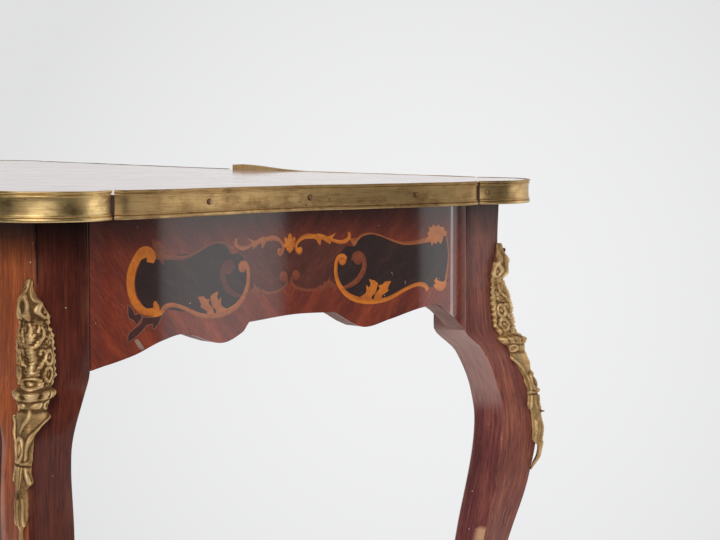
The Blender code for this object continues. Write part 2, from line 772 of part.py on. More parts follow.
def build_chute(corner, bronze):
    """Bronze mount of a knee, modelled as its main relief over the arris."""
    place = corner_place(corner)
    bm = bmesh.new()
    within = [drop for drop in leg_drops() if CHUTE_TOP_DROP < drop < CHUTE_END_DROP]
    rings = []
    for drop in [CHUTE_TOP_DROP] + within + [CHUTE_END_DROP]:
        rings.append([place(out, across, HEIGHT - drop) for out, across in chute_ring(drop)])
    add_loft(bm, rings)
    chute = settle("chute_" + corner, bm, bronze)
    back = bmesh.new()
    rings = []
    for drop in leg_drops():
        if drop < CHUTE_END_DROP + CHUTE_RUNOUT:
            section = grown(leg_ring(drop), CHUTE_CLEAR)
            rings.append([place(out, across, HEIGHT - drop) for out, across in section])
    add_loft(back, rings)
    combine(chute, back, "DIFFERENCE")


def sabot_ring(rise, wall):
    """Section of a sabot at a height over the floor, a wall out from the foot in it."""
    drop = min(HEIGHT - rise, FOOT_DROP)
    return grown(leg_facet(drop), wall)


def build_sabot(corner, bronze):
    """Bronze shoe of a foot: an open cup round the leg's end."""
    place = corner_place(corner)
    floor = FOOT_CLEAR - GAP
    rises = [HEIGHT - drop for drop in leg_drops() if FOOT_CLEAR < HEIGHT - drop < SABOT_RISE]
    rises = [floor] + sorted(rises) + [SABOT_RISE]
    bm = bmesh.new()
    rings = []
    for rise in [0.0] + rises:
        rings.append([place(out, across, rise) for out, across in sabot_ring(rise, SABOT_FIT + SABOT_WALL)])
    add_loft(bm, rings)
    sabot = settle("sabot_" + corner, bm, bronze)
    hollow = bmesh.new()
    rings = []
    for rise in rises + [SABOT_RISE + SABOT_WALL]:
        rings.append([place(out, across, rise) for out, across in sabot_ring(rise, SABOT_FIT)])
    add_loft(hollow, rings)
    combine(sabot, hollow, "DIFFERENCE")


def build_fasteners(spots, brass, steel, wood):
    """Pins of the end strips, screws of the corner blocks and pegs of the tenons."""
    for strip_name, places in spots.items():
        for number, spot in enumerate(places, 1):
            bm = bmesh.new()
            head = (PIN_HEAD_RADIUS, PIN_HEAD_RISE)
            add_headed(bm, pin_seat(spot), spot[1], head, (PIN_SHANK_RADIUS, PIN_LENGTH), PIN_SIDES)
            settle("%s_pin_%d" % (strip_name, number), bm, brass)
    screw_head = (SCREW_HEAD_RADIUS, SCREW_HEAD_RISE)
    top_bite = CORE_BASE - BLOCK_BASE + GAP + SCREW_BITE
    for corner in CORNERS:
        bm = bmesh.new()
        seat, axis = leg_screw_spot(corner)
        add_headed(bm, seat, axis, screw_head, (SCREW_SHANK_RADIUS, leg_screw_length()), SCREW_SIDES)
        settle("block_screw_" + corner, bm, steel)
        bm = bmesh.new()
        down = Vector((0, 0, -1))
        add_headed(bm, top_screw_seat(corner), down, screw_head, (SCREW_SHANK_RADIUS, top_bite), SCREW_SIDES)
        settle("top_screw_" + corner, bm, steel)
        for side, sign in CORNERS[corner][2]:
            bm = bmesh.new()
            add_rod(bm, *peg_rod(side, sign), PEG_RADIUS, PEG_SIDES)
            settle("tenon_peg_%s_of_%s" % (corner, side), bm, wood)


def build_table():
    rosewood = material("rosewood_veneer", (0.16, 0.045, 0.028), 0.25, 0.0)
    leg_wood = material("leg_wood", (0.19, 0.060, 0.035), 0.30, 0.0)
    carcase = material("carcase_wood", (0.45, 0.29, 0.16), 0.60, 0.0)
    brass = material("brass", (0.52, 0.36, 0.13), 0.35, 1.0)
    bronze = material("gilt_bronze", (0.50, 0.33, 0.11), 0.40, 1.0)
    steel = material("steel", (0.45, 0.45, 0.46), 0.40, 1.0)
    strips, outline, spots = build_band(brass)
    build_top(outline, spots, carcase, rosewood)
    for name, places in spots.items():
        holes = bmesh.new()
        for spot in places:
            add_pin_hole(holes, pin_seat(spot), spot[1])
        combine(strips[name], holes, "DIFFERENCE")
    for side in SIDES:
        build_apron(side, carcase, rosewood)
    for corner in CORNERS:
        build_leg(corner, leg_wood)
        build_block(corner, carcase)
        build_chute(corner, bronze)
        build_sabot(corner, bronze)
    build_fasteners(spots, brass, steel, carcase)


build_table()
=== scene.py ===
"""Looks of the serpentine occasional table: veneers, marquetry, brass edge, bronze mounts and studio.

Frame: metres, +Z up, origin on the floor under the middle of the top, long side along X.
Drops are measured down from the top surface, rises up from the floor.
"""
import math

import bpy
import numpy as np
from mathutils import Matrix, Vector, noise
from mathutils.geometry import delaunay_2d_cdt


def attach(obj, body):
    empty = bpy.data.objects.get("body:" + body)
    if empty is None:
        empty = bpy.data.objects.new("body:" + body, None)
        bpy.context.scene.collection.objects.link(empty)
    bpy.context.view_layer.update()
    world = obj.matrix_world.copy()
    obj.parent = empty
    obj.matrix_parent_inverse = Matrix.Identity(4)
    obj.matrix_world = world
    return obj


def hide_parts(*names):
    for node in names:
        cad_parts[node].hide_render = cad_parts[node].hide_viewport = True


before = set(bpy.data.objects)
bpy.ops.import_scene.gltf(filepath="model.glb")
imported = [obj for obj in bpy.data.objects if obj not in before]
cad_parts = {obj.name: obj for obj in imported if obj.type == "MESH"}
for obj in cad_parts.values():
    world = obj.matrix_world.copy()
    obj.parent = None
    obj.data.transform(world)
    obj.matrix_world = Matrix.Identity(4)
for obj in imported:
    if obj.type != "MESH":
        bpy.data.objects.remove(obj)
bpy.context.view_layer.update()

MM = 0.001
GAP = 0.0003
ROOT2 = math.sqrt(2.0)

# Sizes of the top and its brass band
HEIGHT = 0.750
LINE_X = 0.416
LINE_Y = 0.267
END_REACH = 0.004
VENEER_THICK = 0.0012
FRAME_TOP = 0.7317
END_HOLLOW = 0.018
LONG_HOLLOW = 0.016
LOBE_REACH = 0.077
LOBE_BULGE = 0.046
CURL_RADIUS = 0.014
CURL_ANGLE = math.radians(50.0)
BAND_HEIGHT = 0.020
BAND_THICK = 0.0032
BAND_FIELD = 0.0014
BAND_TOP = HEIGHT + 0.0005
NOTCH_GAP = 0.0008
SPRUNG_START = 0.0155
SPRUNG_RISE = ((0.0, 0.0042), (0.017, 0.0048), (0.045, 0.0036), (0.075, 0.0014), (0.105, 0.0))
SPRUNG_GAP = 0.008
LIFT = 0.0036
PATH_STEP = 0.0025
PIN_HEAD = (0.0023, 0.0010)
END_PINS = (-0.545, 0.07, 0.655)
LONG_PINS = (0.04, 0.28, 0.52, 0.76)
LOBE_PINS = {"front_right": (0.05,), "back_right": (0.05,), "back_left": (0.95,), "front_left": (0.95,)}

# Sizes of the frame
ARRIS_INSET = 0.027
POST_WIDTH = 0.044
POST_SPLAY = 0.0045
POST_CHAMFER = 0.010
POST_DROP = 0.129
KNEE_DROP = 0.230
KNEE_TAIL = 0.084
TAIL_DROP = KNEE_DROP + KNEE_TAIL
ANKLE_DROP = 0.560
FOOT_DROP = 0.746
APRON_INSET = 0.0225
APRON_HOLLOW = 0.005
APRON_VENEER = 0.0015
GROOVE_REACH = 0.019
GROOVE_MIDDLE = 0.013
GROOVE_DEPTH = 0.0005
END_HALF = LINE_Y - ARRIS_INSET - POST_WIDTH
LONG_HALF = LINE_X - ARRIS_INSET - POST_WIDTH

# Sizes of the bronze mounts
CHUTE_TOP_DROP = 0.056
CHUTE_LENGTH = 200.0
CHUTE_ROW = 0.6
CHUTE_COLUMNS = 57
CHUTE_CLEAR = 0.0004
SABOT_RISE = 0.066
SABOT_FIT = 0.0006

# Sides: turn about Z, distance of the side line, half length between the legs, half length of the
# band's side between its notches, hollow of the top's edge, and its reach past the line
END_NOTCH = LINE_Y - LOBE_REACH
LONG_NOTCH = LINE_X + END_REACH - LOBE_REACH
SIDES = {
    "right": (0, LINE_X, END_HALF, END_NOTCH, END_HOLLOW, END_REACH),
    "back": (90, LINE_Y, LONG_HALF, LONG_NOTCH, LONG_HOLLOW, 0.0),
    "left": (180, LINE_X, END_HALF, END_NOTCH, END_HOLLOW, END_REACH),
    "front": (270, LINE_Y, LONG_HALF, LONG_NOTCH, LONG_HOLLOW, 0.0),
}
CORNERS = {"front_right": (1, -1), "back_right": (1, 1), "back_left": (-1, 1), "front_left": (-1, -1)}

# Leg template: knots of (drop, distance) for each arris, along the corner's diagonal and across it
KNEE_RUN = KNEE_DROP - POST_DROP
SHANK_MIDDLE = TAIL_DROP + 0.55 * (ANKLE_DROP - TAIL_DROP)
FOOT_MIDDLE = ANKLE_DROP + 0.59 * (FOOT_DROP - ANKLE_DROP)
POST_SIDE = -(POST_WIDTH - POST_SPLAY) / ROOT2
POST_HALF = (POST_WIDTH + POST_SPLAY) / ROOT2
POST_INNER = -(2 * POST_WIDTH - POST_CHAMFER) / ROOT2
LEG_OUTER = (
    (0.0, 0.003), (0.46 * POST_DROP, 0.001), (POST_DROP, 0.0095), (POST_DROP + 0.37 * KNEE_RUN, 0.0272),
    (POST_DROP + 0.58 * KNEE_RUN, 0.0338), (POST_DROP + 0.90 * KNEE_RUN, 0.0365),
    (KNEE_DROP + 0.39 * KNEE_TAIL, 0.0297), (TAIL_DROP, 0.0137), (SHANK_MIDDLE, -0.026),
    (ANKLE_DROP, -0.033), (FOOT_MIDDLE, -0.0235), (FOOT_DROP, -0.0085),
)
LEG_SIDE = (
    (0.0, POST_SIDE), (POST_DROP, POST_SIDE), (POST_DROP + 0.16 * KNEE_RUN, -0.0135),
    (POST_DROP + 0.37 * KNEE_RUN, -0.0035), (POST_DROP + 0.75 * KNEE_RUN, 0.0050), (KNEE_DROP, 0.0035),
    (TAIL_DROP, -0.0105), (SHANK_MIDDLE, -0.041), (ANKLE_DROP, -0.0465), (FOOT_MIDDLE, -0.036),
    (FOOT_DROP, -0.026),
)
LEG_HALF = (
    (0.0, POST_HALF), (POST_DROP, POST_HALF), (POST_DROP + 0.55 * KNEE_RUN, 0.0255),
    (POST_DROP + 1.10 * KNEE_RUN, 0.027), (TAIL_DROP, 0.025), (ANKLE_DROP, 0.0155), (FOOT_MIDDLE, 0.0145),
    (FOOT_DROP, 0.019),
)
LEG_INNER = (
    (0.0, POST_INNER), (POST_DROP, POST_INNER), (POST_DROP + 0.21 * KNEE_RUN, -0.036),
    (POST_DROP + 0.55 * KNEE_RUN, -0.0225), (POST_DROP + 0.80 * KNEE_RUN, -0.019), (TAIL_DROP, -0.0348),
    (SHANK_MIDDLE, -0.057), (ANKLE_DROP, -0.0605), (FOOT_MIDDLE, -0.050), (FOOT_DROP, -0.043),
)
LEG_INNER_HALF = (
    (0.0, POST_CHAMFER / ROOT2), (POST_DROP, POST_CHAMFER / ROOT2), (KNEE_DROP, 0.004), (FOOT_DROP, 0.003),
)

# Apron scallop: knots of (share of the half length, rise of the edge over its ends), in three runs, and
# the share of the half length in its lobe at either end
SCALLOP_LOBE = 0.58
SCALLOP = (
    (
        (-1.0, 0.0), (-0.80, 0.008), (-0.657, 0.017), (-0.563, 0.0203), (-0.355, 0.0102), (-0.25, 0.0168),
        (-0.214, 0.0243),
    ),
    ((-0.214, 0.0243), (0.05, 0.0271), (0.242, 0.0258)),
    (
        (0.242, 0.0258), (0.42, 0.0112), (0.554, 0.0159), (0.74, 0.0232), (0.81, 0.0246), (0.92, 0.0135),
        (1.0, 0.0),
    ),
)

# Section of the brass band in millimetres: outward from its line, and down from its top
BAND_PROFILE = (
    (-3.2, 0.0), (-1.0, 0.0), (-0.5, 0.1), (-0.15, 0.45), (0.0, 0.95), (-0.12, 1.45), (-0.5, 1.8), (-1.0, 2.05),
    (-1.05, 2.4), (-0.6, 2.65), (-0.4, 3.05), (-0.55, 3.5), (-1.0, 3.8), (-1.25, 4.6), (-1.4, 7.0), (-1.45, 10.0),
    (-1.4, 13.0), (-1.25, 15.3), (-0.95, 15.8), (-0.5, 16.05), (-0.4, 16.4), (-0.6, 16.8), (-1.1, 17.1),
    (-0.75, 17.4), (-0.2, 17.8), (0.0, 18.4), (-0.06, 19.0), (-0.35, 19.6), (-0.9, 19.95), (-1.3, 20.0),
    (-3.2, 20.0),
)


def eased(knots, at):
    """Smooth curve through the knots that turns only at them."""
    last = len(knots) - 1
    at = min(max(at, knots[0][0]), knots[last][0])
    rises = [(b[1] - a[1]) / (b[0] - a[0]) for a, b in zip(knots, knots[1:])]
    slopes = [rises[0]]
    for before, after in zip(rises, rises[1:]):
        slopes.append(2 * before * after / (before + after) if before * after > 0 else 0.0)
    slopes.append(rises[-1])
    index = 0
    while index < last - 1 and at > knots[index + 1][0]:
        index += 1
    (x0, y0), (x1, y1) = knots[index], knots[index + 1]
    span = x1 - x0
    t = (at - x0) / span
    rise = (2 * t - 3) * t * t
    return (
        y0 * (1 + rise) - y1 * rise
        + span * t * (1 - t) * ((1 - t) * slopes[index] - t * slopes[index + 1])
    )


def side_place(side):
    """Placing function of a side: along it, inward from its line, and up."""
    turn = math.radians(SIDES[side][0])
    line = SIDES[side][1]
    cosine, sine = round(math.cos(turn)), round(math.sin(turn))

    def place(along, inward, up):
        out = line - inward
        return Vector((cosine * out - sine * along, sine * out + cosine * along, up))

    return place


def corner_place(corner):
    """Placing function of a corner: outward along its diagonal from the post's arris, across it, and up."""
    sign_x, sign_y = CORNERS[corner]

    def place(out, across, up):
        return Vector((
            sign_x * (LINE_X - ARRIS_INSET + (out - across) / ROOT2),
            sign_y * (LINE_Y - ARRIS_INSET + (out + across) / ROOT2),
            up,
        ))

    return place


def smooth_line(points, step, closed=False):
    """Points about a step apart on a smooth curve through the given ones."""
    points = [np.array(point, float) for point in points]
    if closed:
        padded = [points[-1], *points, points[0], points[1]]
    else:
        padded = [2 * points[0] - points[1], *points, 2 * points[-1] - points[-2]]
    line = []
    for p0, p1, p2, p3 in zip(padded, padded[1:], padded[2:], padded[3:]):
        count = max(2, round(float(np.linalg.norm(p2 - p1)) / step))
        for t in np.arange(count) / count:
            line.append(
                p1 + 0.5 * t * (p2 - p0 + t * (2 * p0 - 5 * p1 + 4 * p2 - p3 + t * (3 * p1 - p0 - 3 * p2 + p3)))
            )
    if not closed:
        line.append(points[-1])
    return np.array(line)


# Shader wiring
class Shader:
    """One node material, wired from the Principled surface backwards."""

    def __init__(self, name):
        self.material = bpy.data.materials.new(name)
        self.material.use_nodes = True
        self.tree = self.material.node_tree
        self.surface = self.tree.nodes["Principled BSDF"]

    def put(self, socket, value):
        if isinstance(value, bpy.types.NodeSocket):
            self.tree.links.new(value, socket)
        elif isinstance(value, tuple) and socket.type == "RGBA":
            socket.default_value = (*value[:3], 1.0)
        else:
            socket.default_value = value

    def node(self, kind, inputs, output=0, **settings):
        made = self.tree.nodes.new("ShaderNode" + kind)
        for name, value in settings.items():
            setattr(made, name, value)
        for name, value in inputs.items():
            self.put(made.inputs[name], value)
        return made.outputs[output]

    def set(self, **inputs):
        for name, value in inputs.items():
            self.put(self.surface.inputs[name.replace("_", " ").title().replace("Ior", "IOR")], value)

    def attribute(self, name, output=1):
        return self.node("Attribute", {}, output, attribute_name=name)

    def position(self):
        return self.node("TexCoord", {}, 3)

    def math(self, operation, a, b=0.0, clamp=False):
        return self.node("Math", {0: a, 1: b}, operation=operation, use_clamp=clamp)

    def mix(self, share, a, b, blend="MIX"):
        return self.node("Mix", {0: share, 6: a, 7: b}, 2, data_type="RGBA", blend_type=blend)

    def scaled(self, vector, by):
        return self.node("VectorMath", {0: vector, 1: by}, operation="MULTIPLY")

    def turned(self, vector, angle):
        return self.node("VectorRotate", {"Vector": vector, "Angle": angle}, rotation_type="Z_AXIS")

    def mirrored(self, vector):
        """The vector with its first part made positive, for book-matched halves."""
        parts = self.tree.nodes.new("ShaderNodeSeparateXYZ")
        self.put(parts.inputs[0], vector)
        first = self.math("ABSOLUTE", parts.outputs[0])
        return self.node("CombineXYZ", {0: first, 1: parts.outputs[1], 2: parts.outputs[2]})

    def noise(self, vector, scale, detail=4.0, roughness=0.55):
        return self.node(
            "TexNoise", {"Vector": vector, "Scale": scale, "Detail": detail, "Roughness": roughness}
        )

    def ramp(self, share, stops):
        made = self.tree.nodes.new("ShaderNodeValToRGB")
        elements = made.color_ramp.elements
        while len(elements) < len(stops):
            elements.new(0.5)
        for element, (place, colour) in zip(elements, stops):
            element.position = place
            element.color = (*colour, 1.0)
        self.put(made.inputs[0], share)
        return made.outputs[0]

    def level(self, share, low, high, out_low=0.0, out_high=1.0):
        inputs = {0: share, 1: low, 2: high, 3: out_low, 4: out_high}
        return self.node("MapRange", inputs, clamp=True)

    def painted_band_shadow(self, colour, reach, least):
        """Colour darkened up to the underside of the band: painted shadow of the band's overhang."""
        parts = self.tree.nodes.new("ShaderNodeSeparateXYZ")
        self.put(parts.inputs[0], self.position())
        share = self.level(parts.outputs[2], FRAME_TOP - reach, FRAME_TOP - 0.1 * reach, 1.0, least)
        return self.node("VectorMath", {0: colour, "Scale": share}, operation="SCALE")

    def bump(self, height, distance, strength=0.5):
        inputs = {"Height": height, "Distance": distance, "Strength": strength}
        self.put(self.surface.inputs["Normal"], self.node("Bump", inputs))


def varnish(shader, gloss, coat, blur=0.035):
    """Polished finish over a wood colour, with faint cloudiness."""
    cloud = shader.noise(shader.position(), 26.0, 5.0)
    shader.set(
        roughness=shader.level(cloud, 0.3, 0.7, gloss, gloss + 0.14),
        specular_ior_level=0.12, coat_weight=coat, coat_roughness=blur, coat_ior=1.65,
    )


def specks(shader, colour, amount, pale=(0.75, 0.70, 0.64)):
    """Sparse pale dust and lint on a colour."""
    spot = shader.noise(shader.position(), 300.0, 1.0, 0.4)
    return shader.mix(shader.level(spot, amount, amount + 0.012, 0.0, 0.7), colour, pale)


def grained(shader, along_across, tones, streak, pores=0.35, fleck=(44.0, 480.0), flecked=0.55):
    """Wood colour from coordinates that run along and across the grain, in metres."""
    broad = shader.noise(shader.scaled(along_across, (11.0, 52.0, 11.0)), 1.0, 5.0, 0.6)
    fine = shader.noise(shader.scaled(along_across, (*fleck, fleck[0])), 1.0, 6.0, 0.7)
    lines = shader.noise(shader.scaled(along_across, (60.0, 1500.0, 60.0)), 1.0, 3.0, 0.6)
    share = shader.math("ADD", shader.math("MULTIPLY", broad, 0.60), shader.math("MULTIPLY", fine, 0.40))
    colour = shader.ramp(share, tones)
    colour = shader.mix(shader.level(fine, 0.56, 0.70, 0.0, flecked), colour, streak)
    dark = shader.level(lines, 0.36, 0.46, pores, 0.0)
    colour = shader.mix(dark, colour, (0.012, 0.006, 0.005))
    return colour, lines


def rosewood_ground():
    """Ground veneer of the aprons, with diagonal grain that is matched about the middle, and painted shadow under the
    band.
    """
    shader = Shader("rosewood_ground")
    sheet = shader.turned(shader.mirrored(shader.attribute("veneer")), math.radians(52))
    tones = ((0.32, (0.070, 0.011, 0.008)), (0.50, (0.200, 0.031, 0.014)), (0.68, (0.385, 0.066, 0.020)))
    colour, lines = grained(shader, sheet, tones, (0.40, 0.088, 0.028), 0.45, (120.0, 950.0), 0.40)
    # Painted shadow: the colour darkens towards the underside of the band.
    shader.set(base_color=specks(shader, shader.painted_band_shadow(colour, 0.028, 0.36), 0.805))
    varnish(shader, 0.30, 1.0)
    shader.bump(lines, 0.00008)
    return shader.material


def rosewood_field(name, tones, streak):
    """Darker field of the cartouche, with fine grain the other way."""
    shader = Shader(name)
    sheet = shader.turned(shader.mirrored(shader.attribute("veneer")), math.radians(38))
    colour, lines = grained(shader, sheet, tones, streak, 0.5, (120.0, 950.0), 0.45)
    shader.set(base_color=specks(shader, colour, 0.805))
    varnish(shader, 0.30, 1.0)
    shader.bump(lines, 0.00008)
    return shader.material


def inlay(name, light, dark):
    """Scroll inlay, scorched along one edge of each piece."""
    shader = Shader(name)
    sheet = shader.attribute("veneer")
    shade = shader.attribute("shade", 2)
    patchy = shader.noise(sheet, 130.0, 4.0)
    grain = shader.noise(shader.scaled(sheet, (260.0, 900.0, 1.0)), 1.0, 3.0)
    burnt = shader.math("ADD", shader.level(shade, 0.35, 1.0, 0.0, 0.75), shader.level(patchy, 0.45, 0.75, 0.0, 0.5))
    colour = shader.mix(burnt, light, dark)
    colour = shader.mix(shader.level(grain, 0.35, 0.6, 0.35, 0.0), colour, dark)
    shader.set(base_color=specks(shader, colour, 0.815))
    varnish(shader, 0.30, 1.0)
    return shader.material


def leg_veneer():
    """Veneer of the legs, with upright grain, worn pale at its arrises and chipped here and there, with painted light
    and shade on some faces, painted shadow under the band and a pale painted reflection.
    """
    shader = Shader("leg_veneer")
    sheet = shader.attribute("veneer")
    tones = ((0.30, (0.050, 0.010, 0.008)), (0.50, (0.158, 0.031, 0.017)), (0.68, (0.30, 0.067, 0.027)))
    colour, lines = grained(shader, sheet, tones, (0.36, 0.092, 0.032), 0.6, (20.0, 620.0), 0.25)
    # Painted light and shade: each face's colour is scaled by its own strength, lighter where light falls and paler and
    # bluer where a reflection is painted.
    colour = shader.scaled(colour, shader.attribute("tone"))
    edge = shader.attribute("edge", 2)
    worn = shader.math("MULTIPLY", edge, shader.level(shader.noise(sheet, 30.0, 4.0), 0.5, 0.7, 0.0, 0.5))
    colour = shader.mix(worn, colour, (0.34, 0.15, 0.075))
    chip = shader.noise(shader.scaled(sheet, (60.0, 150.0, 150.0)), 1.0, 2.0)
    chip = shader.math("MULTIPLY", shader.level(chip, 0.76, 0.78), shader.level(edge, 0.1, 0.4))
    loss = shader.attribute("chip", 2)
    colour = shader.mix(shader.level(loss, -0.75, -0.95), colour, (0.016, 0.006, 0.006))
    colour = shader.mix(shader.math("MAXIMUM", chip, loss), colour, (0.50, 0.28, 0.16))
    # Painted shadow under the band, with a pale painted reflection mixed over it on some faces.
    reflection_share = shader.math("MULTIPLY", shader.attribute("bloom", 2), shader.level(lines, 0.30, 0.60, 0.55, 0.95))
    colour = shader.mix(reflection_share, shader.painted_band_shadow(colour, 0.034, 0.20), (0.49, 0.292, 0.250))
    shader.set(base_color=specks(shader, colour, 0.805))
    varnish(shader, 0.32, shader.attribute("gloss", 2))
    shader.bump(lines, 0.00008)
    return shader.material


def top_veneer(name, turn, tones, streak):
    """Veneer of the top, hazed by use, with its grain turned from the long side."""
    shader = Shader(name)
    sheet = shader.turned(shader.attribute("veneer"), turn)
    colour, lines = grained(shader, sheet, tones, streak)
    haze = shader.noise(shader.position(), 9.0, 6.0, 0.65)
    colour = shader.mix(shader.level(haze, 0.42, 0.72, 0.12, 0.40), colour, (0.56, 0.47, 0.40))
    worn = shader.noise(shader.scaled(sheet, (5.0, 26.0, 5.0)), 1.0, 6.0, 0.7)
    shader.set(base_color=specks(shader, colour, 0.80))
    varnish(shader, 0.22, shader.level(worn, 0.30, 0.56, 0.90, 1.0), 0.09)
    shader.set(coat_tint=(1.0, 0.965, 0.935))
    shader.bump(lines, 0.00006)
    return shader.material


def carcase(name, scale, dark):
    """Bare wood inside the frame, greyed and dusty, with its grain along one direction."""
    shader = Shader(name)
    sheet = shader.scaled(shader.position(), scale)
    broad = shader.noise(sheet, 1.0, 5.0, 0.6)
    fine = shader.noise(shader.scaled(sheet, (5.0, 5.0, 5.0)), 1.0, 4.0, 0.6)
    share = shader.math("ADD", shader.math("MULTIPLY", broad, 0.6), shader.math("MULTIPLY", fine, 0.4))
    tones = ((0.32, dark), (0.52, [1.8 * part for part in dark]), (0.70, [2.7 * part for part in dark]))
    dust = shader.noise(shader.position(), 40.0, 5.0)
    colour = shader.mix(shader.level(dust, 0.45, 0.7, 0.0, 0.4), shader.ramp(share, tones), tuple(2.4 * part for part in dark))
    shader.set(base_color=colour, roughness=shader.level(fine, 0.3, 0.7, 0.62, 0.85))
    shader.bump(fine, 0.0003)
    return shader.material


def metal(name, bright, body, patina, rough, recess_share, drawn=0.0):
    """Aged metal: dark in its recesses, rubbed bright on what stands proud, blotched, and lined where drawn."""
    shader = Shader(name)
    place = shader.position()
    blotch = shader.noise(place, 55.0, 6.0, 0.65)
    fine = shader.noise(place, 700.0, 4.0, 0.6)
    relief = shader.attribute("relief", 2)
    tarnish = shader.math(
        "ADD", shader.level(relief, 0.55, 0.10, 0.0, recess_share), shader.level(blotch, 0.48, 0.72, 0.0, 0.45), True
    )
    rubbed = shader.math("MULTIPLY", shader.level(relief, 0.60, 0.95), shader.level(blotch, 0.65, 0.35, 0.25, 1.0))
    colour = shader.mix(rubbed, body, bright)
    colour = shader.mix(tarnish, colour, patina)
    pits = shader.level(shader.noise(place, 330.0, 2.0, 0.5), 0.70, 0.74, 0.0, 0.8)
    colour = shader.mix(pits, colour, (0.05, 0.03, 0.015))
    lines = shader.noise(shader.scaled(place, (26.0, 26.0, 2200.0)), 1.0, 4.0, 0.65)
    colour = shader.mix(shader.level(lines, 0.50, 0.36, 0.0, drawn), colour, patina)
    stain = shader.noise(shader.scaled(place, (30.0, 30.0, 70.0)), 1.0, 6.0, 0.7)
    colour = shader.mix(shader.level(stain, 0.50, 0.68, 0.0, drawn), colour, (0.19, 0.095, 0.036))
    shader.set(
        base_color=colour, metallic=1.0,
        roughness=shader.math("ADD", shader.level(blotch, 0.3, 0.7, rough, rough + 0.16), shader.math("MULTIPLY", tarnish, 0.16)),
    )
    shader.bump(fine, 0.00012)
    return shader.material


def iron():
    """Plain iron of the old screws."""
    shader = Shader("iron_screws")
    rust = shader.noise(shader.position(), 300.0, 5.0, 0.65)
    shader.set(
        base_color=shader.ramp(rust, ((0.35, (0.10, 0.09, 0.085)), (0.55, (0.22, 0.20, 0.19)), (0.7, (0.20, 0.10, 0.05)))),
        metallic=0.8, roughness=shader.level(rust, 0.3, 0.7, 0.4, 0.7),
    )
    shader.bump(rust, 0.0002)
    return shader.material


MATERIALS = {
    "ground": rosewood_ground(),
    "field": rosewood_field(
        "dark_field",
        ((0.30, (0.012, 0.006, 0.006)), (0.52, (0.032, 0.013, 0.011)), (0.72, (0.080, 0.032, 0.022))),
        (0.11, 0.048, 0.032),
    ),
    "centre": rosewood_field(
        "centre_field",
        ((0.30, (0.045, 0.011, 0.008)), (0.52, (0.115, 0.027, 0.017)), (0.72, (0.21, 0.054, 0.028))),
        (0.24, 0.068, 0.034),
    ),
    "box": inlay("boxwood_inlay", (0.76, 0.225, 0.021), (0.42, 0.098, 0.015)),
    "tan": inlay("tan_inlay", (0.46, 0.135, 0.034), (0.26, 0.066, 0.021)),
    "red": inlay("stained_inlay", (0.27, 0.066, 0.025), (0.15, 0.034, 0.016)),
    "dark": inlay("dark_inlay", (0.080, 0.022, 0.018), (0.045, 0.014, 0.012)),
    "patch": inlay("pale_patch", (0.36, 0.24, 0.18), (0.24, 0.13, 0.09)),
    "leg": leg_veneer(),
    "carcase_x": carcase("carcase_along_x", (9.0, 90.0, 90.0), (0.160, 0.088, 0.072)),
    "carcase_y": carcase("carcase_along_y", (90.0, 9.0, 90.0), (0.160, 0.088, 0.072)),
    # The top's core is near black: painted shade in the clefts at the band's notches, where it shows.
    "stained": carcase("core_painted_shade", (9.0, 90.0, 90.0), (0.040, 0.021, 0.016)),
    "brass": metal("aged_brass", (1.0, 0.86, 0.54), (0.68, 0.465, 0.21), (0.33, 0.19, 0.073), 0.27, 0.8, 0.80),
    "rubbed": metal("rubbed_brass", (1.0, 0.90, 0.56), (0.88, 0.63, 0.28), (0.43, 0.26, 0.10), 0.27, 0.8, 0.70),
    "dull": metal("stained_brass", (0.95, 0.76, 0.44), (0.62, 0.41, 0.18), (0.30, 0.17, 0.066), 0.37, 0.85, 0.80),
    # Bright brass of the loose strip's inner face: its unweathered metal, and in part a painted highlight.
    "bright_inner": metal("bright_inner_brass", (1.0, 0.86, 0.54), (0.95, 0.74, 0.40), (0.60, 0.42, 0.18), 0.66, 0.2, 0.3),
    "pin": metal("dull_pin", (0.46, 0.28, 0.16), (0.34, 0.20, 0.11), (0.14, 0.075, 0.035), 0.38, 0.9),
    "bronze": metal("gilt_bronze", (1.0, 0.76, 0.42), (0.72, 0.455, 0.200), (0.225, 0.125, 0.055), 0.50, 0.90),
    "iron": iron(),
}
TOP_TONES = ((0.30, (0.060, 0.016, 0.012)), (0.50, (0.16, 0.046, 0.026)), (0.70, (0.30, 0.10, 0.045)))
TOP_STREAK = (0.36, 0.13, 0.055)


# Building of pieces
def piece(name, verts, faces, materials, node=None, slot=None, kinds=None, sharp=35.0, **attributes):
    """New mesh that rides on the table, stands for a solid where one is named, and carries its attributes."""
    mesh = bpy.data.meshes.new(name)
    mesh.from_pydata([tuple(vert) for vert in verts], [], [tuple(face) for face in faces])
    for surface in materials:
        mesh.materials.append(surface)
    if kinds is not None:
        mesh.polygons.foreach_set("material_index", kinds)
    mesh.shade_smooth()
    mesh.set_sharp_from_angle(angle=math.radians(sharp))
    for key, values in attributes.items():
        values = np.asarray(values, np.float32)
        kind, field = ("FLOAT_VECTOR", "vector") if values.ndim == 2 else ("FLOAT", "value")
        layer = mesh.attributes.new(key, kind, "POINT")
        layer.data.foreach_set(field, values.ravel())
    made = bpy.data.objects.new(name, mesh)
    bpy.context.scene.collection.objects.link(made)
    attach(made, "root")
    if node:
        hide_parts(node)
    return made


def loft(rings, first=0):
    """Faces of a closed body through rings of equal point counts."""
    count = len(rings[0])
    faces = []
    for row in range(len(rings) - 1):
        for i in range(count):
            j = (i + 1) % count
            low, high = first + row * count, first + (row + 1) * count
            faces.append((low + i, low + j, high + j, high + i))
    faces.append(tuple(first + i for i in reversed(range(count))))
    faces.append(tuple(first + (len(rings) - 1) * count + i for i in range(count)))
    return faces


def outward(faces, flip):
    return [face[::-1] for face in faces] if flip else faces


# Outline of the top
def crest_of(side):
    return SIDES[side][3] - CURL_RADIUS * math.sin(CURL_ANGLE)


def side_inset(side, along):
    return SIDES[side][4] * (1 + math.cos(math.pi * along / crest_of(side))) / 2


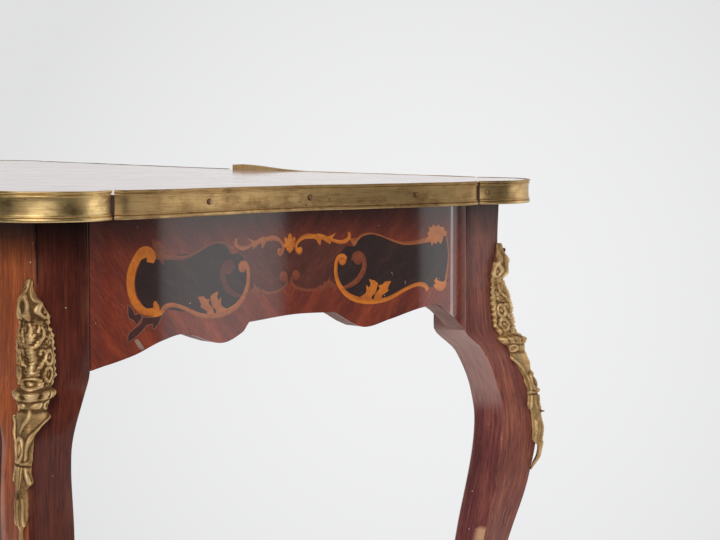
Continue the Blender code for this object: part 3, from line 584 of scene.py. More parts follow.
def edge_point(side, along):
    """Point of the top's edge, and its outward normal, with the curled ends past the crests."""
    place = side_place(side)
    crest = crest_of(side)
    if abs(along) <= crest:
        step = 1e-5
        lean = (side_inset(side, along + step) - side_inset(side, along - step)) / (2 * step)
        inset = side_inset(side, along)
        normal = Vector((lean, -1.0)).normalized()
    else:
        reach = min((abs(along) - crest) / CURL_RADIUS, math.sin(CURL_ANGLE))
        turn = math.asin(reach)
        inset = CURL_RADIUS * (1 - math.cos(turn))
        normal = Vector((math.copysign(reach, along), -math.cos(turn)))
    inset -= SIDES[side][5]
    point = place(along, inset, 0)
    return point, place(along + normal.x, inset + normal.y, 0) - point


def side_path(side, start, end):
    """Path along a side between two places from its middle, short of the notches at its ends."""
    limit = crest_of(side) + CURL_RADIUS * math.sin(CURL_ANGLE - NOTCH_GAP / CURL_RADIUS)
    start, end = max(start, -limit), min(end, limit)
    steps = round((end - start) / PATH_STEP)
    return [edge_point(side, start + (end - start) * i / steps) for i in range(steps + 1)]


def lobe_path(corner):
    """Arc of a corner lobe between the notches at its two neighbouring sides."""
    sign_x, sign_y = CORNERS[corner]
    curl_depth = CURL_RADIUS * (1 - math.cos(CURL_ANGLE))
    half_chord = (LOBE_REACH - curl_depth) / ROOT2
    radius = (half_chord ** 2 + LOBE_BULGE ** 2) / (2 * LOBE_BULGE)
    sweep = math.acos((radius - LOBE_BULGE) / radius) - NOTCH_GAP / radius
    middle = (LOBE_REACH + curl_depth) / 2 + (radius - LOBE_BULGE) / ROOT2
    steps = round(2 * sweep * radius / PATH_STEP)
    path = []
    for i in range(steps + 1):
        turn = math.pi / 4 + sweep * (2 * i / steps - 1)
        normal = Vector((sign_x * math.cos(turn), sign_y * math.sin(turn), 0))
        centre = Vector((sign_x * (LINE_X + END_REACH - middle), sign_y * (LINE_Y - middle), 0))
        path.append((centre + normal * radius, normal))
    return path if sign_x * sign_y > 0 else path[::-1]


def sprung(point):
    """Rise of the loose strip's free end, which is next to the middle of the back."""
    return eased(SPRUNG_RISE, point.x - SPRUNG_START)


def lifted(point):
    """Rise of the slack strips towards the front right corner."""
    along = min(max((END_NOTCH - point.y) / (END_NOTCH + LINE_Y), 0.0), 1.0)
    across = min(max((point.x - 0.1) / 0.25, 0.0), 1.0)
    return LIFT * along ** 1.5 * across


def band_relief_share(out, drop):
    """Relief share at a place of the band's section, which sets its brightness in the metal shader: least, so darkest,
    on its upper bead.
    """
    return 0.30 + 0.12 * drop if drop < 2.1 else 0.66 + 0.11 * out


def band_strip(name, path, finish="brass", loose=False):
    """One moulded strip of the band, slightly uneven along its length."""
    rings = []
    relief = []
    for point, normal in path:
        rise = sprung(point) if loose else 0.0
        lift = lifted(point)
        wave = 0.00016 * noise.noise(point * 28)
        dent = 0.00018 * (noise.noise(point * 60 + Vector((5, 5, 5))) - 1) - 0.0001
        ring = []
        for out, drop in BAND_PROFILE:
            level = BAND_TOP - drop * MM + rise + wave - 0.0002 + lift * (1.15 - 0.0275 * drop)
            ring.append(point + normal * (out * MM + dent) + Vector((0, 0, level)))
            # The inner face is dark where hidden, and bright on the loose strip: unweathered metal, and in part a
            # painted highlight.
            relief.append(band_relief_share(out, drop) if out > -2 else 1.0 * loose)
        rings.append(ring)
    verts = [vert for ring in rings for vert in ring]
    faces = loft(rings)
    last = len(BAND_PROFILE) - 1
    kinds = [int(loose and i % (last + 1) == last) for i in range(len(faces) - 2)] + [0, 0]
    materials = [MATERIALS[finish], MATERIALS["bright_inner"]] if loose else [MATERIALS[finish]]
    return piece("moulded_" + name, verts, faces, materials, name, "brass", kinds, relief=relief)


def domes(name, seats, radius, rise, material, node=None, slot="brass"):
    """Round pin heads on seats of (point, axis), as one piece."""
    profile = ((1.0, -0.3), (1.0, 0.0), (0.93, 0.36), (0.72, 0.70), (0.40, 0.93))
    sides = 18
    verts = []
    faces = []
    relief = []
    for seat, axis in seats:
        axis = axis.normalized()
        first = axis.orthogonal().normalized()
        second = axis.cross(first)
        start = len(verts)
        for share, height in profile:
            for i in range(sides):
                turn = 2 * math.pi * i / sides
                spoke = first * math.cos(turn) + second * math.sin(turn)
                verts.append(seat + axis * (rise * height) + spoke * (radius * share))
                relief.append(0.15 + 0.8 * max(height, 0.0))
        crown = len(verts)
        verts.append(seat + axis * rise)
        relief.append(1.0)
        rows = len(profile)
        for row in range(rows - 1):
            for i in range(sides):
                j = (i + 1) % sides
                low, high = start + row * sides, start + (row + 1) * sides
                faces.append((low + i, low + j, high + j, high + i))
        top = start + (rows - 1) * sides
        for i in range(sides):
            faces.append((top + i, top + (i + 1) % sides, crown))
        faces.append(tuple(start + i for i in reversed(range(sides))))
    return piece(name, verts, faces, [material], node, slot, relief=relief)


def band_seat(path, share):
    """Seat of a pin in the hollow field of a strip, at a share of its path from 0 to 1."""
    point, normal = path[round(share * (len(path) - 1))]
    seat = point + normal * (GAP / 2 - BAND_FIELD)
    return Vector((seat.x, seat.y, BAND_TOP - BAND_HEIGHT / 2 + 0.875 * lifted(point))), normal


def build_band():
    """Strips and pins of the brass edge. Returns the outline that they follow."""
    outline = []
    for corner, side in zip(CORNERS, SIDES):
        path = lobe_path(corner)
        outline += path
        name = "band_lobe_" + corner
        band_strip(name, path, "rubbed" if corner == "front_right" else "brass")
        seats = [band_seat(path, share) for share in LOBE_PINS[corner]]
        domes(name + "_pins", seats, *PIN_HEAD, MATERIALS["pin"])
        if side in ("right", "left"):
            name = "band_end_" + side
            path = side_path(side, -END_NOTCH, END_NOTCH)
            outline += path
            band_strip(name, path, "dull")
            for number, share in enumerate(END_PINS, 1):
                point, normal = edge_point(side, share * crest_of(side))
                seat = point + normal * (GAP - BAND_FIELD)
                seat.z = BAND_TOP - BAND_HEIGHT / 2 + 0.875 * lifted(point)
                node = "%s_pin_%d" % (name, number)
                domes("round_" + node, [(seat, normal)], *PIN_HEAD, MATERIALS["pin"], node)
        else:
            joint = (-SPRUNG_START, SPRUNG_GAP - SPRUNG_START) if side == "back" else (-GAP, GAP)
            for half, start, end in (("first", -LONG_NOTCH, joint[0]), ("second", joint[1], LONG_NOTCH)):
                name = "band_%s_%s" % (side, half)
                path = side_path(side, start, end)
                outline += path
                loose = name == "band_back_first"
                band_strip(name, path, loose=loose)
                places = LONG_PINS[:2] if loose else LONG_PINS
                seats = [band_seat(path, share) for share in places]
                domes(name + "_pins", seats, *PIN_HEAD, MATERIALS["pin"])
    return outline


# Triangulated veneers
def inside(outline, points):
    """Which points lie in a closed outline, by winding number."""
    x, y = points[:, 0:1], points[:, 1:2]
    following = np.roll(outline, -1, axis=0)
    side = (following[:, 0] - outline[:, 0]) * (y - outline[:, 1]) - (x - outline[:, 0]) * (
        following[:, 1] - outline[:, 1]
    )
    up = (outline[:, 1] <= y) & (following[:, 1] > y) & (side > 0)
    down = (outline[:, 1] > y) & (following[:, 1] <= y) & (side < 0)
    return up.sum(1) != down.sum(1)


def tiled(boundary, shapes, grid, columns=()):
    """Triangles of a flat sheet cut along its shapes: points, faces, the shape over each face and edge shades."""
    points = []
    edges = []
    shades = []
    for outline, shade in [(boundary, None)] + [(shape[1], shape[2]) for shape in shapes]:
        first = len(points)
        count = len(outline)
        points += [Vector(point) for point in outline]
        shades += [0.5] * count if shade is None else list(shade)
        edges += [(first + i, first + (i + 1) % count) for i in range(count)]
    low, high = boundary.min(0), boundary.max(0)
    steps = np.ceil((high - low) / grid).astype(int)
    across = [low[0] + (high[0] - low[0]) * i / steps[0] for i in range(1, steps[0])]
    clear = min((abs(x) for x in columns), default=math.inf) - grid / 2
    across = [x for x in across if abs(x) < clear] + list(columns)
    down = [low[1] + (high[1] - low[1]) * j / steps[1] for j in range(1, steps[1])]
    mesh_points = np.array([(x, y) for x in across for y in down])
    mesh_points = mesh_points[inside(boundary, mesh_points)]
    points += [Vector(point) for point in mesh_points]
    shades += [0.5] * len(mesh_points)
    verts, _, faces, sources, _, _ = delaunay_2d_cdt(points, edges, [], 0, 1e-4)
    flat = np.array([tuple(vert) for vert in verts])
    faces = [tuple(face) for face in faces]
    middles = np.array([flat[list(face)].mean(0) for face in faces])
    keep = inside(boundary, middles)
    over = np.full(len(faces), -1)
    for number, shape in enumerate(shapes):
        over[inside(shape[1], middles)] = number
    shade = np.array([np.mean([shades[k] for k in source]) if source else 0.5 for source in sources])
    kept = [face for face, good in zip(faces, keep) if good]
    return flat, kept, over[keep], shade


def thickened(front, back, faces):
    """Closed body between a triangulated front and its copy behind, with walls round the rim."""
    count = len(front)
    every = list(faces) + [tuple(count + k for k in reversed(face)) for face in faces]
    rim = {}
    for face in faces:
        for a, b in zip(face, face[1:] + face[:1]):
            rim[(a, b)] = True
    walls = [(b, a, count + a, count + b) for a, b in rim if (b, a) not in rim]
    return list(front) + list(back), every + walls


# Marquetry, in millimetres: distance from the middle of the apron and drop below the top.
# Ribbons have a line and widths along it, leaves an outline, balls a middle and a radius.
SCROLLS = (
    ("ribbon", "tan", ((69.5, 46.5), (72.5, 45), (77.5, 42), (87, 40.8), (96, 42.5), (109.5, 47), (123, 50.4), (137, 50.3),
                       (149, 49)),
     (3.0, 2.0, 1.2, 1.2, 1.5, 2.2, 3.2, 3.6, 4.4)),
    ("leaf", "tan", ((64.5, 44.5), (68.5, 43.8), (72.5, 45), (72, 48), (69, 51), (67, 48.5))),
    ("ribbon", "red", ((66.5, 62), (69, 57.5), (74.5, 56.5), (79, 60.5), (80.2, 67), (77.8, 73), (72.4, 78.6), (64.6, 82.3),
                       (55, 84.3)),
     (2.0, 3.8, 4.4, 5.0, 5.4, 5.0, 4.4, 3.4, 1.6)),
    ("ball", "red", (73.2, 61.4), 4.6),
    ("ribbon", "box", ((63.3, 38.6), (64.2, 42.4), (61, 45.4), (55.5, 46.6), (49, 45.4), (44, 43.6)),
     (2.6, 3.4, 3.4, 3.2, 2.8, 2.2)),
    ("leaf", "box", ((26, 39.3), (31, 38.6), (36, 39.6), (41.5, 41.3), (49.7, 38.8), (45.5, 42.8), (48, 45), (44.8, 45.3),
                     (43.5, 48), (40, 46), (36, 43.8), (34.3, 43), (33, 48), (30.3, 46.2), (29, 43.6), (26, 42))),
    ("ribbon", "box", ((11.8, 48.6), (13, 51), (11, 53.3), (8.6, 52), (7.4, 49), (7.6, 46.2), (11.1, 42.7), (17.5, 40.3),
                       (24.6, 40.4), (29, 40.8)),
     (2.0, 2.4, 2.4, 2.4, 2.6, 3.0, 3.6, 4.2, 4.0, 2.6)),
    ("ball", "box", (10.6, 51.0), 2.4),
    ("ribbon", "box", ((60.5, 60.5), (57.5, 57.8), (52.5, 58.6), (49.8, 63.5), (49.5, 71.5), (51.6, 78.6), (56.7, 85.6),
                       (63.3, 90.8), (72.4, 94.4), (83, 96.6), (92, 97.2), (103, 96.4), (112.3, 94), (123, 90), (132.7, 87),
                       (141, 85.8), (148, 87.4), (151.3, 91.3)),
     (3.0, 3.4, 3.6, 3.8, 4.2, 4.6, 5.0, 5.0, 4.4, 3.8, 3.6, 3.2, 3.0, 3.2, 3.8, 4.2)),
    ("ball", "box", (56.6, 61.4), 4.0),
    ("leaf", "box", ((72, 94), (80.3, 90.5), (82.3, 88), (82.3, 83), (85, 85.5), (87, 82.6), (85, 78.5), (91, 79.8), (95, 82.6),
                     (92.2, 90), (89, 92.3), (85.6, 96))),
    ("leaf", "box", ((90.5, 96), (92.2, 91), (96.8, 87.2), (95.5, 84), (99.5, 83.8), (103, 81.5), (109.5, 81.4), (107.5, 84.3),
                     (105.5, 87.6), (107, 88.8), (104, 90.7), (99.5, 93), (98, 96))),
    ("ribbon", "red", ((3, 72), (2.6, 76), (5, 79), (9, 81), (18, 83.2), (28, 83.2), (34.5, 80.8)),
     (2.6, 2.8, 2.6, 2.4, 2.4, 3.0, 3.6)),
    ("ball", "red", (7, 71), 4.2),
    ("leaf", "red", ((31, 83.4), (36, 79.6), (37.3, 77.3), (39.3, 78.4), (44, 73.5), (43.2, 77.5), (45.8, 79.2), (50.5, 81),
                     (49.5, 83), (41, 83.2), (36, 84.8))),
)
RIGHT_END = (
    ("ribbon", "tan", ((170.5, 42), (173.5, 49.4), (175.5, 63), (174.3, 74.3), (172.2, 84)), (1.6, 1.5, 1.5, 1.8, 2.4)),
    ("leaf", "box", ((148, 49), (152, 45.5), (150.5, 43.3), (153, 41.3), (151.7, 37.7), (155.5, 38.4), (157, 36), (160.5, 38),
                     (163.3, 36), (165.5, 38.4), (169.8, 38.8), (170.5, 41), (173.3, 43.2), (172.7, 46.3), (169, 46.6),
                     (168.4, 49.7), (166.3, 53.2), (162.7, 50.4), (160.5, 53), (157.7, 51.3), (155.6, 54.6), (154.2, 51),
                     (148.5, 51))),
    ("leaf", "box", ((161.4, 81), (163, 84), (169.3, 85.4), (172.2, 83.3), (173, 88.7), (168, 93.1), (162, 92.2), (157, 87.8),
                     (160, 86.4), (158.5, 84))),
)
LEFT_END = (
    ("leaf", "red", ((-138, 40.5), (-138.7, 34.5), (-136, 36.8), (-131.8, 37.3), (-129.6, 39.2), (-127.5, 41), (-125, 43.2),
                     (-126.5, 46.5), (-124, 50), (-127.6, 51.5), (-127, 55), (-129.8, 53.5), (-132, 50.8), (-134.6, 50.3),
                     (-135.6, 46))),
    ("leaf", "dark", ((-161.7, 82.5), (-157.6, 86.3), (-155, 90.7), (-151.4, 90.1), (-148.3, 92.4), (-150.4, 95.2),
                      (-153.6, 98), (-156.7, 94.7), (-161, 92))),
    ("leaf", "dark", ((-126, 90), (-130, 94), (-132.4, 98.2), (-136.7, 102), (-139, 102.5), (-138, 98.7), (-144, 99.4),
                      (-147.3, 102), (-153.7, 106.6), (-162, 110.5), (-161, 104.4), (-154, 100), (-149.4, 97), (-148.3, 92.8),
                      (-138.8, 93.8), (-132.4, 92.6))),
    ("leaf", "box", ((-143.6, 48.5), (-143.6, 52), (-137.3, 53.2), (-135, 49.4), (-136, 45.2), (-139.3, 41.7), (-144.5, 40.2),
                     (-151, 42), (-157.2, 49), (-161.4, 57), (-162.8, 65.3), (-161.6, 74.5), (-158, 83), (-151.4, 89.3),
                     (-143, 92.4), (-134.5, 93.8), (-129, 92.4), (-129, 88.4), (-131.8, 89), (-132.3, 85.5), (-135.5, 81.5),
                     (-138, 83), (-137.6, 86.5), (-144, 86.5), (-149.2, 82.8), (-153.4, 77.5), (-155.4, 70.7), (-155.3, 63.3),
                     (-153, 56), (-149, 50.3))),
)
PATCH = ("leaf", "patch", ((-156, 110), (-152.7, 109), (-146.5, 116.4), (-148.6, 117.5), (-151.7, 116)))
END_FIELD = (
    (60, 50), (68, 50.5), (72.5, 45.5), (77.5, 42), (87, 40.8), (96, 42.5), (109.5, 47), (123, 50.4), (137, 50.3), (150, 48.5),
    (168, 44), (173.5, 50), (175.5, 63), (174.3, 74.3), (171, 86), (160, 89), (150, 89), (141, 85.8), (132.7, 87), (123, 90),
    (112.3, 94), (103, 96.4), (92, 97.2), (83, 96.6), (72.4, 94.4), (63.3, 90.8), (56.7, 85.6), (51.6, 78.6), (49.5, 71.5),
    (49.8, 63.5), (53, 57),
)
CENTRE_FIELD = (
    (0, 50), (5, 50), (8, 46), (11, 43), (17.5, 40.5), (26, 41), (36, 44), (44, 45), (55.5, 46.6), (62, 48), (55, 55),
    (49.8, 63.5), (49.5, 71.5), (51.5, 80), (45, 79.5), (34.5, 81), (28, 83.2), (18, 83.2), (9, 81), (4, 77), (0, 76),
)
LEFT_FIELD = (
    (-100, 51), (-124, 50), (-136, 50), (-144, 50), (-150, 53), (-154, 62), (-154.5, 70), (-151, 79), (-144, 86), (-135, 88),
    (-128, 88), (-100, 89),
)
LEFT_MIDDLE = -142.0
LEFT_SQUEEZE = 0.86
# Duller woods that take the place of others on the mirrored half of the marquetry, except red pieces near the middle.
DULLER_WOODS = {"box": "tan", "tan": "red", "red": "centre"}
DULLER_FROM = 40.0
PALE_EDGE = 0.28
LINE_STEP = 1.0


def ribbon(points, widths):
    """Outline of a ribbon of varying width, with shades 0 and 1 along its two edges."""
    line = smooth_line(points, LINE_STEP)
    run = np.gradient(line, axis=0)
    run /= np.linalg.norm(run, axis=1)[:, None]
    normal = np.stack((-run[:, 1], run[:, 0]), axis=1)
    width = np.interp(np.linspace(0, 1, len(line)), np.linspace(0, 1, len(widths)), widths)[:, None]
    outline = np.concatenate((line + normal * width / 2, (line - normal * width / 2)[::-1]))
    return outline, np.repeat((0.0, 1.0), len(line))


def ball(middle, radius):
    turns = np.linspace(0, 2 * math.pi, 22, endpoint=False)
    outline = np.array(middle) + radius * np.stack((np.cos(turns), np.sin(turns)), axis=1)
    return outline, 0.5 + 0.5 * np.sin(turns)


def leaf(points):
    """Outline of a leaf, smooth between its tips and notches."""
    points = np.array(points, float)
    ahead = np.roll(points, -1, axis=0) - points
    behind = np.roll(ahead, 1, axis=0)
    lengths = np.linalg.norm(ahead, axis=1) * np.linalg.norm(behind, axis=1)
    sharp = (ahead * behind).sum(1) < 0.35 * lengths
    outline = []
    for i in range(len(points)):
        j = (i + 1) % len(points)
        start = ahead[i] if sharp[i] else (ahead[i] + behind[i]) / 2
        end = ahead[i] if sharp[j] else (ahead[j] + behind[j]) / 2
        for t in (0.0, 0.25, 0.5, 0.75):
            rise = (3 - 2 * t) * t * t
            outline.append(points[i] + ahead[i] * rise + t * (1 - t) * ((1 - t) * start - t * end))
    outline = np.array(outline)
    height = outline[:, 1]
    return outline, (height - height.min()) / np.ptp(height)


def grown(outline, amount):
    """Closed outline moved outward by an amount."""
    run = np.roll(outline, -1, axis=0) - np.roll(outline, 1, axis=0)
    normal = np.stack((run[:, 1], -run[:, 0]), axis=1) / np.linalg.norm(run, axis=1)[:, None]
    area = (outline[:, 0] * np.roll(outline[:, 1], -1) - outline[:, 1] * np.roll(outline[:, 0], -1)).sum()
    return outline + normal * math.copysign(amount, area)


def shape_of(item, stretch, mirror):
    """Outline of one marquetry shape, moved for a longer apron and mirrored for the left half."""
    kind, wood = item[:2]
    points = np.array(item[2], float).reshape(-1, 2)
    if kind == "ribbon" and np.ptp(points[:, 0]) > 40:
        points[:, 0] *= stretch
    else:
        points[:, 0] += points[:, 0].mean() * (stretch - 1)
    if mirror:
        points[:, 0] *= -mirror
    if kind == "ribbon":
        outline, shade = ribbon(points, item[3])
    elif kind == "ball":
        outline, shade = ball(points[0], item[3])
    else:
        outline, shade = leaf(points)
    return wood, outline, shade


def marquetry(stretch, patched):
    """Shapes of one apron, from the lowest layer to the highest."""
    shapes = []
    for sign in (1, -LEFT_SQUEEZE):
        for wood, points in (("field", END_FIELD), ("centre", CENTRE_FIELD)):
            closed = smooth_line(np.array(points, float) * (sign * stretch, 1.0), 2.0, closed=wood == "field")
            shapes.append((wood, closed, np.full(len(closed), 0.5)))
    left_field = np.array(LEFT_FIELD, float)
    left_field[1:-1, 0] += LEFT_MIDDLE * (stretch - 1)
    left_field[[0, -1], 0] *= stretch
    closed = smooth_line(left_field, 2.0, closed=True)
    shapes.append(("field", closed, np.full(len(closed), 0.5)))
    for item in SCROLLS:
        shapes.append(shape_of(item, stretch, 0))
        wood, outline, shade = shape_of(item, stretch, LEFT_SQUEEZE)
        near = np.abs(outline[:, 0]).mean() < DULLER_FROM * stretch
        shapes.append((wood if near and wood == "red" else DULLER_WOODS[wood], outline, shade))
    shapes.append(palmette())
    for item in RIGHT_END + LEFT_END + ((PATCH,) if patched else ()):
        shape = shape_of(item, stretch, 0)
        if item[1] == "dark":
            shapes.append(("patch", grown(shape[1], PALE_EDGE), shape[2]))
        shapes.append(shape)
    return shapes


def palmette():
    """Fan of five lobes at the middle of the apron."""
    turns = np.linspace(-1.75, 1.75, 71)
    lobes = np.abs(np.cos(turns * 5 * math.pi / 3.5)) ** 0.7
    reach = 10.6 * (1 - 0.24 * np.abs(turns)) * (0.60 + 0.40 * lobes)
    fan = np.stack((0.9 + reach * np.sin(turns), 47.5 - reach * np.cos(turns)), axis=1)
    foot = np.array(((4.5, 50), (2.5, 51.5), (0.9, 53), (-0.7, 51.5), (-2.7, 50)))
    outline = np.concatenate((fan, foot))
    return "box", outline, np.linspace(0, 1, len(outline))


def apron_front(side, along):
    half = SIDES[side][2]
    return APRON_INSET + APRON_HOLLOW * (1 + math.cos(math.pi * along / half)) / 2


def joint_groove(side, along):
    """Depth of the shallow hollow beside a leg."""
    end = SIDES[side][2] - abs(along)
    return GROOVE_DEPTH * max(0.0, min(end / GROOVE_MIDDLE, (GROOVE_REACH - end) / (GROOVE_REACH - GROOVE_MIDDLE)))


def scallop_share(side, along):
    """Share of the scallop at a place along an apron. Long sides mirror it and lengthen its middle."""
    half = SIDES[side][2]
    if side in ("right", "left"):
        return along / half
    lobe = SCALLOP_LOBE * END_HALF
    reach = abs(along)
    if reach > half - lobe:
        share = 1 - (half - reach) / END_HALF
    else:
        share = (1 - SCALLOP_LOBE) * reach / (half - lobe)
    return -math.copysign(share, along)


def apron_drop(side, along):
    """Drop of an apron's scalloped lower edge."""
    share = scallop_share(side, along)
    for run in SCALLOP:
        if share <= run[-1][0]:
            return POST_DROP - eased(run, share)
    return POST_DROP


def build_apron(side):
    """Inlaid veneer of one apron, flush, with every piece of the marquetry cut into it."""
    half = SIDES[side][2] - GAP
    steps = round(half / 0.001)
    alongs = [half * i / steps for i in range(-steps, steps + 1)]
    low = [(along / MM, apron_drop(side, along) / MM) for along in alongs]
    top = (HEIGHT - FRAME_TOP) / MM
    upper = [(along / MM, top) for along in reversed(alongs[::4])]
    boundary = np.array(low + upper)
    hand = 1.0 if side in ("right", "left") else -1.0
    shapes = [
        (wood, outline * (hand, 1.0), shade)
        for wood, outline, shade in marquetry(SIDES[side][2] / END_HALF, side == "right")
    ]
    ends = [(half - step) / MM for step in (0.0035, 0.007, 0.010, GROOVE_MIDDLE, 0.016, GROOVE_REACH)]
    flat, faces, over, shade = tiled(boundary, shapes, 5.0, ends + [-end for end in ends])
    place = side_place(side)
    front = []
    back = []
    for along, drop in flat * MM:
        face = apron_front(side, along)
        front.append(place(along, face + joint_groove(side, along), HEIGHT - drop))
        back.append(place(along, face + APRON_VENEER, HEIGHT - drop))
    verts, every = thickened(front, back, faces)
    woods = ["ground", "field", "centre", "box", "tan", "red", "dark", "patch"]
    kinds = [woods.index(shapes[number][0]) if number >= 0 else 0 for number in over]
    kinds += [0] * (len(every) - len(kinds))
    sheet = np.concatenate((flat * MM, np.full((len(flat), 1), 0.01 * SIDES[side][0])), axis=1)
    made = piece(
        "inlaid_apron_" + side, verts, outward(every, False), [MATERIALS[wood] for wood in woods],
        "apron_veneer_" + side, "rosewood_veneer", kinds,
        veneer=np.concatenate((sheet, sheet)), shade=np.concatenate((shade, shade)),
    )
    return made


# Legs. Their faces are counted from the one on the long side round to the one on the end. Those whose
# strength of colour and gloss differ from the common ones are listed by corner and face. Their colour
# strength is partly painted light: the front right leg's long face is painted lighter and yellower where
# light falls on it, and its end face is darker; the back right leg's end and inner faces are painted
# paler and bluer as a painted reflection, with less gloss.
LEG_COMMON = ((1.0, 1.0, 1.0), 0.7)
LEG_FACE_LIGHT_AND_GLOSS = {
    ("front_right", 0): ((1.82, 2.2, 1.25), 0.5), ("front_right", 4): ((0.58, 0.57, 0.60), 0.12),
    ("back_right", 4): ((1.58, 2.50, 3.40), 0.06), ("back_right", 3): ((0.98, 1.38, 2.3), 0.45),
}
# Painted reflection on a leg's faces, a pale sheen mixed into the colour: knots of (drop, strength)
PAINTED_REFLECTIONS = {
    ("back_right", 3): ((0.0, 0.95), (0.135, 0.95), (0.160, 0.62), (0.190, 0.40), (0.206, 0.0), (0.75, 0.0)),
    ("back_right", 4): ((0.0, 0.0), (0.215, 0.0), (0.260, 0.02), (0.330, 0.12), (0.75, 0.05)),
}
NO_PAINTED_REFLECTION = ((0.0, 0.0), (1.0, 0.0))
CHIP_CORNER = "back_right"
CHIP_DROP = 0.3115
CHIP_REACH = 0.0055
CHIP_POINTS = (35, 36, 37)
# Crack beside the outer arris of one leg, from under the band down to its mount
CRACK_CORNER = "front_right"
CRACK_DROP = 0.066


def leg_ring(drop):
    """Flat section of a leg: (outward, across) points from the outer arris round to the side."""
    outer = eased(LEG_OUTER, drop)
    side = eased(LEG_SIDE, drop)
    half = eased(LEG_HALF, drop)
    inner = eased(LEG_INNER, drop)
    inner_half = eased(LEG_INNER_HALF, drop)
    return [(outer, 0.0), (side, half), (inner, inner_half), (inner, -inner_half), (side, -half)]


def rounded(ring, radius, arc, run):
    """Ring with its corners eased, and the share of edge wear and the face at each point."""
    points = []
    wear = []
    faces = []
    corners = [Vector(corner) for corner in ring]
    count = len(corners)
    for k, corner in enumerate(corners):
        before, after = corners[k - 1], corners[(k + 1) % count]
        back = (before - corner).normalized() * min(radius, (before - corner).length * 0.45)
        ahead = (after - corner).normalized() * min(radius, (after - corner).length * 0.45)
        for i in range(arc + 1):
            t = i / arc
            points.append(corner + back * (1 - t) ** 2 + ahead * t ** 2)
            wear.append(1.0 - 0.6 * abs(2 * t - 1))
            faces.append(k if t > 0.5 else (k - 1) % count)
        start = corner + ahead
        end = after + (corner - after).normalized() * min(radius, (after - corner).length * 0.45)
        for i in range(1, run):
            points.append(start.lerp(end, i / run))
            wear.append(0.0)
            faces.append(k)
    return points, wear, faces


def build_leg(corner):
    """Veneered cabriole leg with eased arrises."""
    place = corner_place(corner)
    top = HEIGHT - FRAME_TOP
    steps = round((FOOT_DROP - top) / 0.004)
    rings = []
    sheet = []
    edge = []
    finish = []
    bloom = []
    chip = []
    seed = 0.37 * list(CORNERS).index(corner)
    for step in range(steps + 1):
        drop = top + (FOOT_DROP - top) * step / steps
        points, wear, turned = rounded(leg_ring(drop), 0.0016, 4, 5)
        rings.append([place(point.x, point.y, HEIGHT - drop) for point in points])
        # Painted light and shade and the gloss of each face, and the strength of the painted reflection.
        finish += [LEG_FACE_LIGHT_AND_GLOSS.get((corner, face), LEG_COMMON) for face in turned]
        bloom += [eased(PAINTED_REFLECTIONS.get((corner, face), NO_PAINTED_REFLECTION), drop) for face in turned]
        struck = corner == CHIP_CORNER and abs(drop - CHIP_DROP) < CHIP_REACH
        split = 0
        if corner == CRACK_CORNER and drop < CRACK_DROP:
            split = round(1.8 + 1.6 * noise.noise(Vector((150 * drop, 0, 0))) - 12 * drop)
        chip += [float(struck and i in CHIP_POINTS) - float(i < split) for i in range(len(points))]
        sheet += [(drop, point.y + seed, point.x) for point in points]
        edge += wear
    verts = [vert for ring in rings for vert in ring]
    flip = CORNERS[corner][0] * CORNERS[corner][1] < 0
    return piece(
        "polished_leg_" + corner, verts, outward(loft(rings), not flip), [MATERIALS["leg"]], "leg_" + corner, "leg_wood",
        veneer=sheet, edge=edge, bloom=bloom, chip=chip,
        tone=[tone for tone, _ in finish], gloss=[gloss for _, gloss in finish],
    )


# Bronze mounts
CHUTE_SPREAD = (
    (0, 3.6), (8, 4.0), (12, 5.6), (17, 9.0), (24, 12.0), (30, 14.2), (34, 13.4), (41, 15.6), (59, 17.0),
    (70, 18.0), (77, 15.0), (80, 14.4), (83, 18.0), (87, 17.0), (90, 12.4), (94, 11.8), (97, 13.0),
    (100.5, 16.2), (104, 14.6), (108, 12.4), (112, 11.0), (120, 9.8), (131, 9.2), (138, 9.0), (143, 9.8),
    (148, 7.6), (160, 7.4), (168, 7.8), (173, 6.4), (178, 2.8), (185, 2.0), (193, 2.2), (200, 1.0),
)
CHUTE_CREST = (
    (0, 2.0), (8, 5.0), (16, 9.0), (24, 8.0), (31, 2.8), (42, 4.6), (52, 6.4), (64, 6.2), (77, 6.6),
    (80, 9.2), (83, 12.2), (86, 10.6), (90, 8.4), (96, 6.0), (104, 4.2), (112, 3.0), (121, 2.6), (132, 2.9),
    (150, 3.3), (163, 3.7), (173, 3.2), (180, 1.7), (192, 1.4), (200, 1.0),
)
# Asymmetry of a chute: its shift towards the long side, the stand-off of a loose one, and the lean and
# settling of a slack one, along its length
CHUTE_SHIFT = ((0, 0), (94, 0), (100, 1.2), (106, 4.2), (112, 6.8), (145, 7.2), (200, 8.4))
LOOSE_SHIFT = ((0, 0), (94, 0), (112, 1.0), (126, 0), (146, -1.5), (172, -1.5), (178, 0), (200, 0))
CHUTE_LOOSE = ((0, 0), (112, 0), (126, 1.0), (150, 1.2), (163, 2.4), (171, 2.4), (178, 4.2), (187, 4.4), (194, 2.4), (200, 0.2))
LOOSE_FREE = 174.0
CHUTE_LEAN = ((0, 5.0), (20, 4.0), (45, 1.5), (80, 0), (200, 0))
CHUTE_SETTLE = ((0, 3.5), (80, 0), (200, 0))
PIN_ROWS = {"back_right": ((6.0, 0.0019, 0.0014), (147.5, 0.0009, 0.0033))}
COMMON_PINS = ((6.0, 0.0019, 0.0014), (153.5, 0.0019, 0.0014))
CHUTE_EDGE = 1.3
# How much brighter or duller than the others a chute is made, by a shift of its relief share
CHUTE_BRIGHTENED = {"back_right": 0.22, "front_right": -0.04}
ARRIS_ROUND = 8.0


def bump(a, b, middle, radii, height):
    reach = ((a - middle[0]) / radii[0]) ** 2 + ((b - middle[1]) / radii[1]) ** 2
    return height * np.sqrt(np.clip(1 - reach, 0, 1))


def hoop(a, b, middle, radii, width, height):
    reach = np.sqrt(((a - middle[0]) / radii[0]) ** 2 + ((b - middle[1]) / radii[1]) ** 2)
    off = (reach - 1) * min(radii) / width
    return height * np.clip(1 - off ** 2, 0, 1)


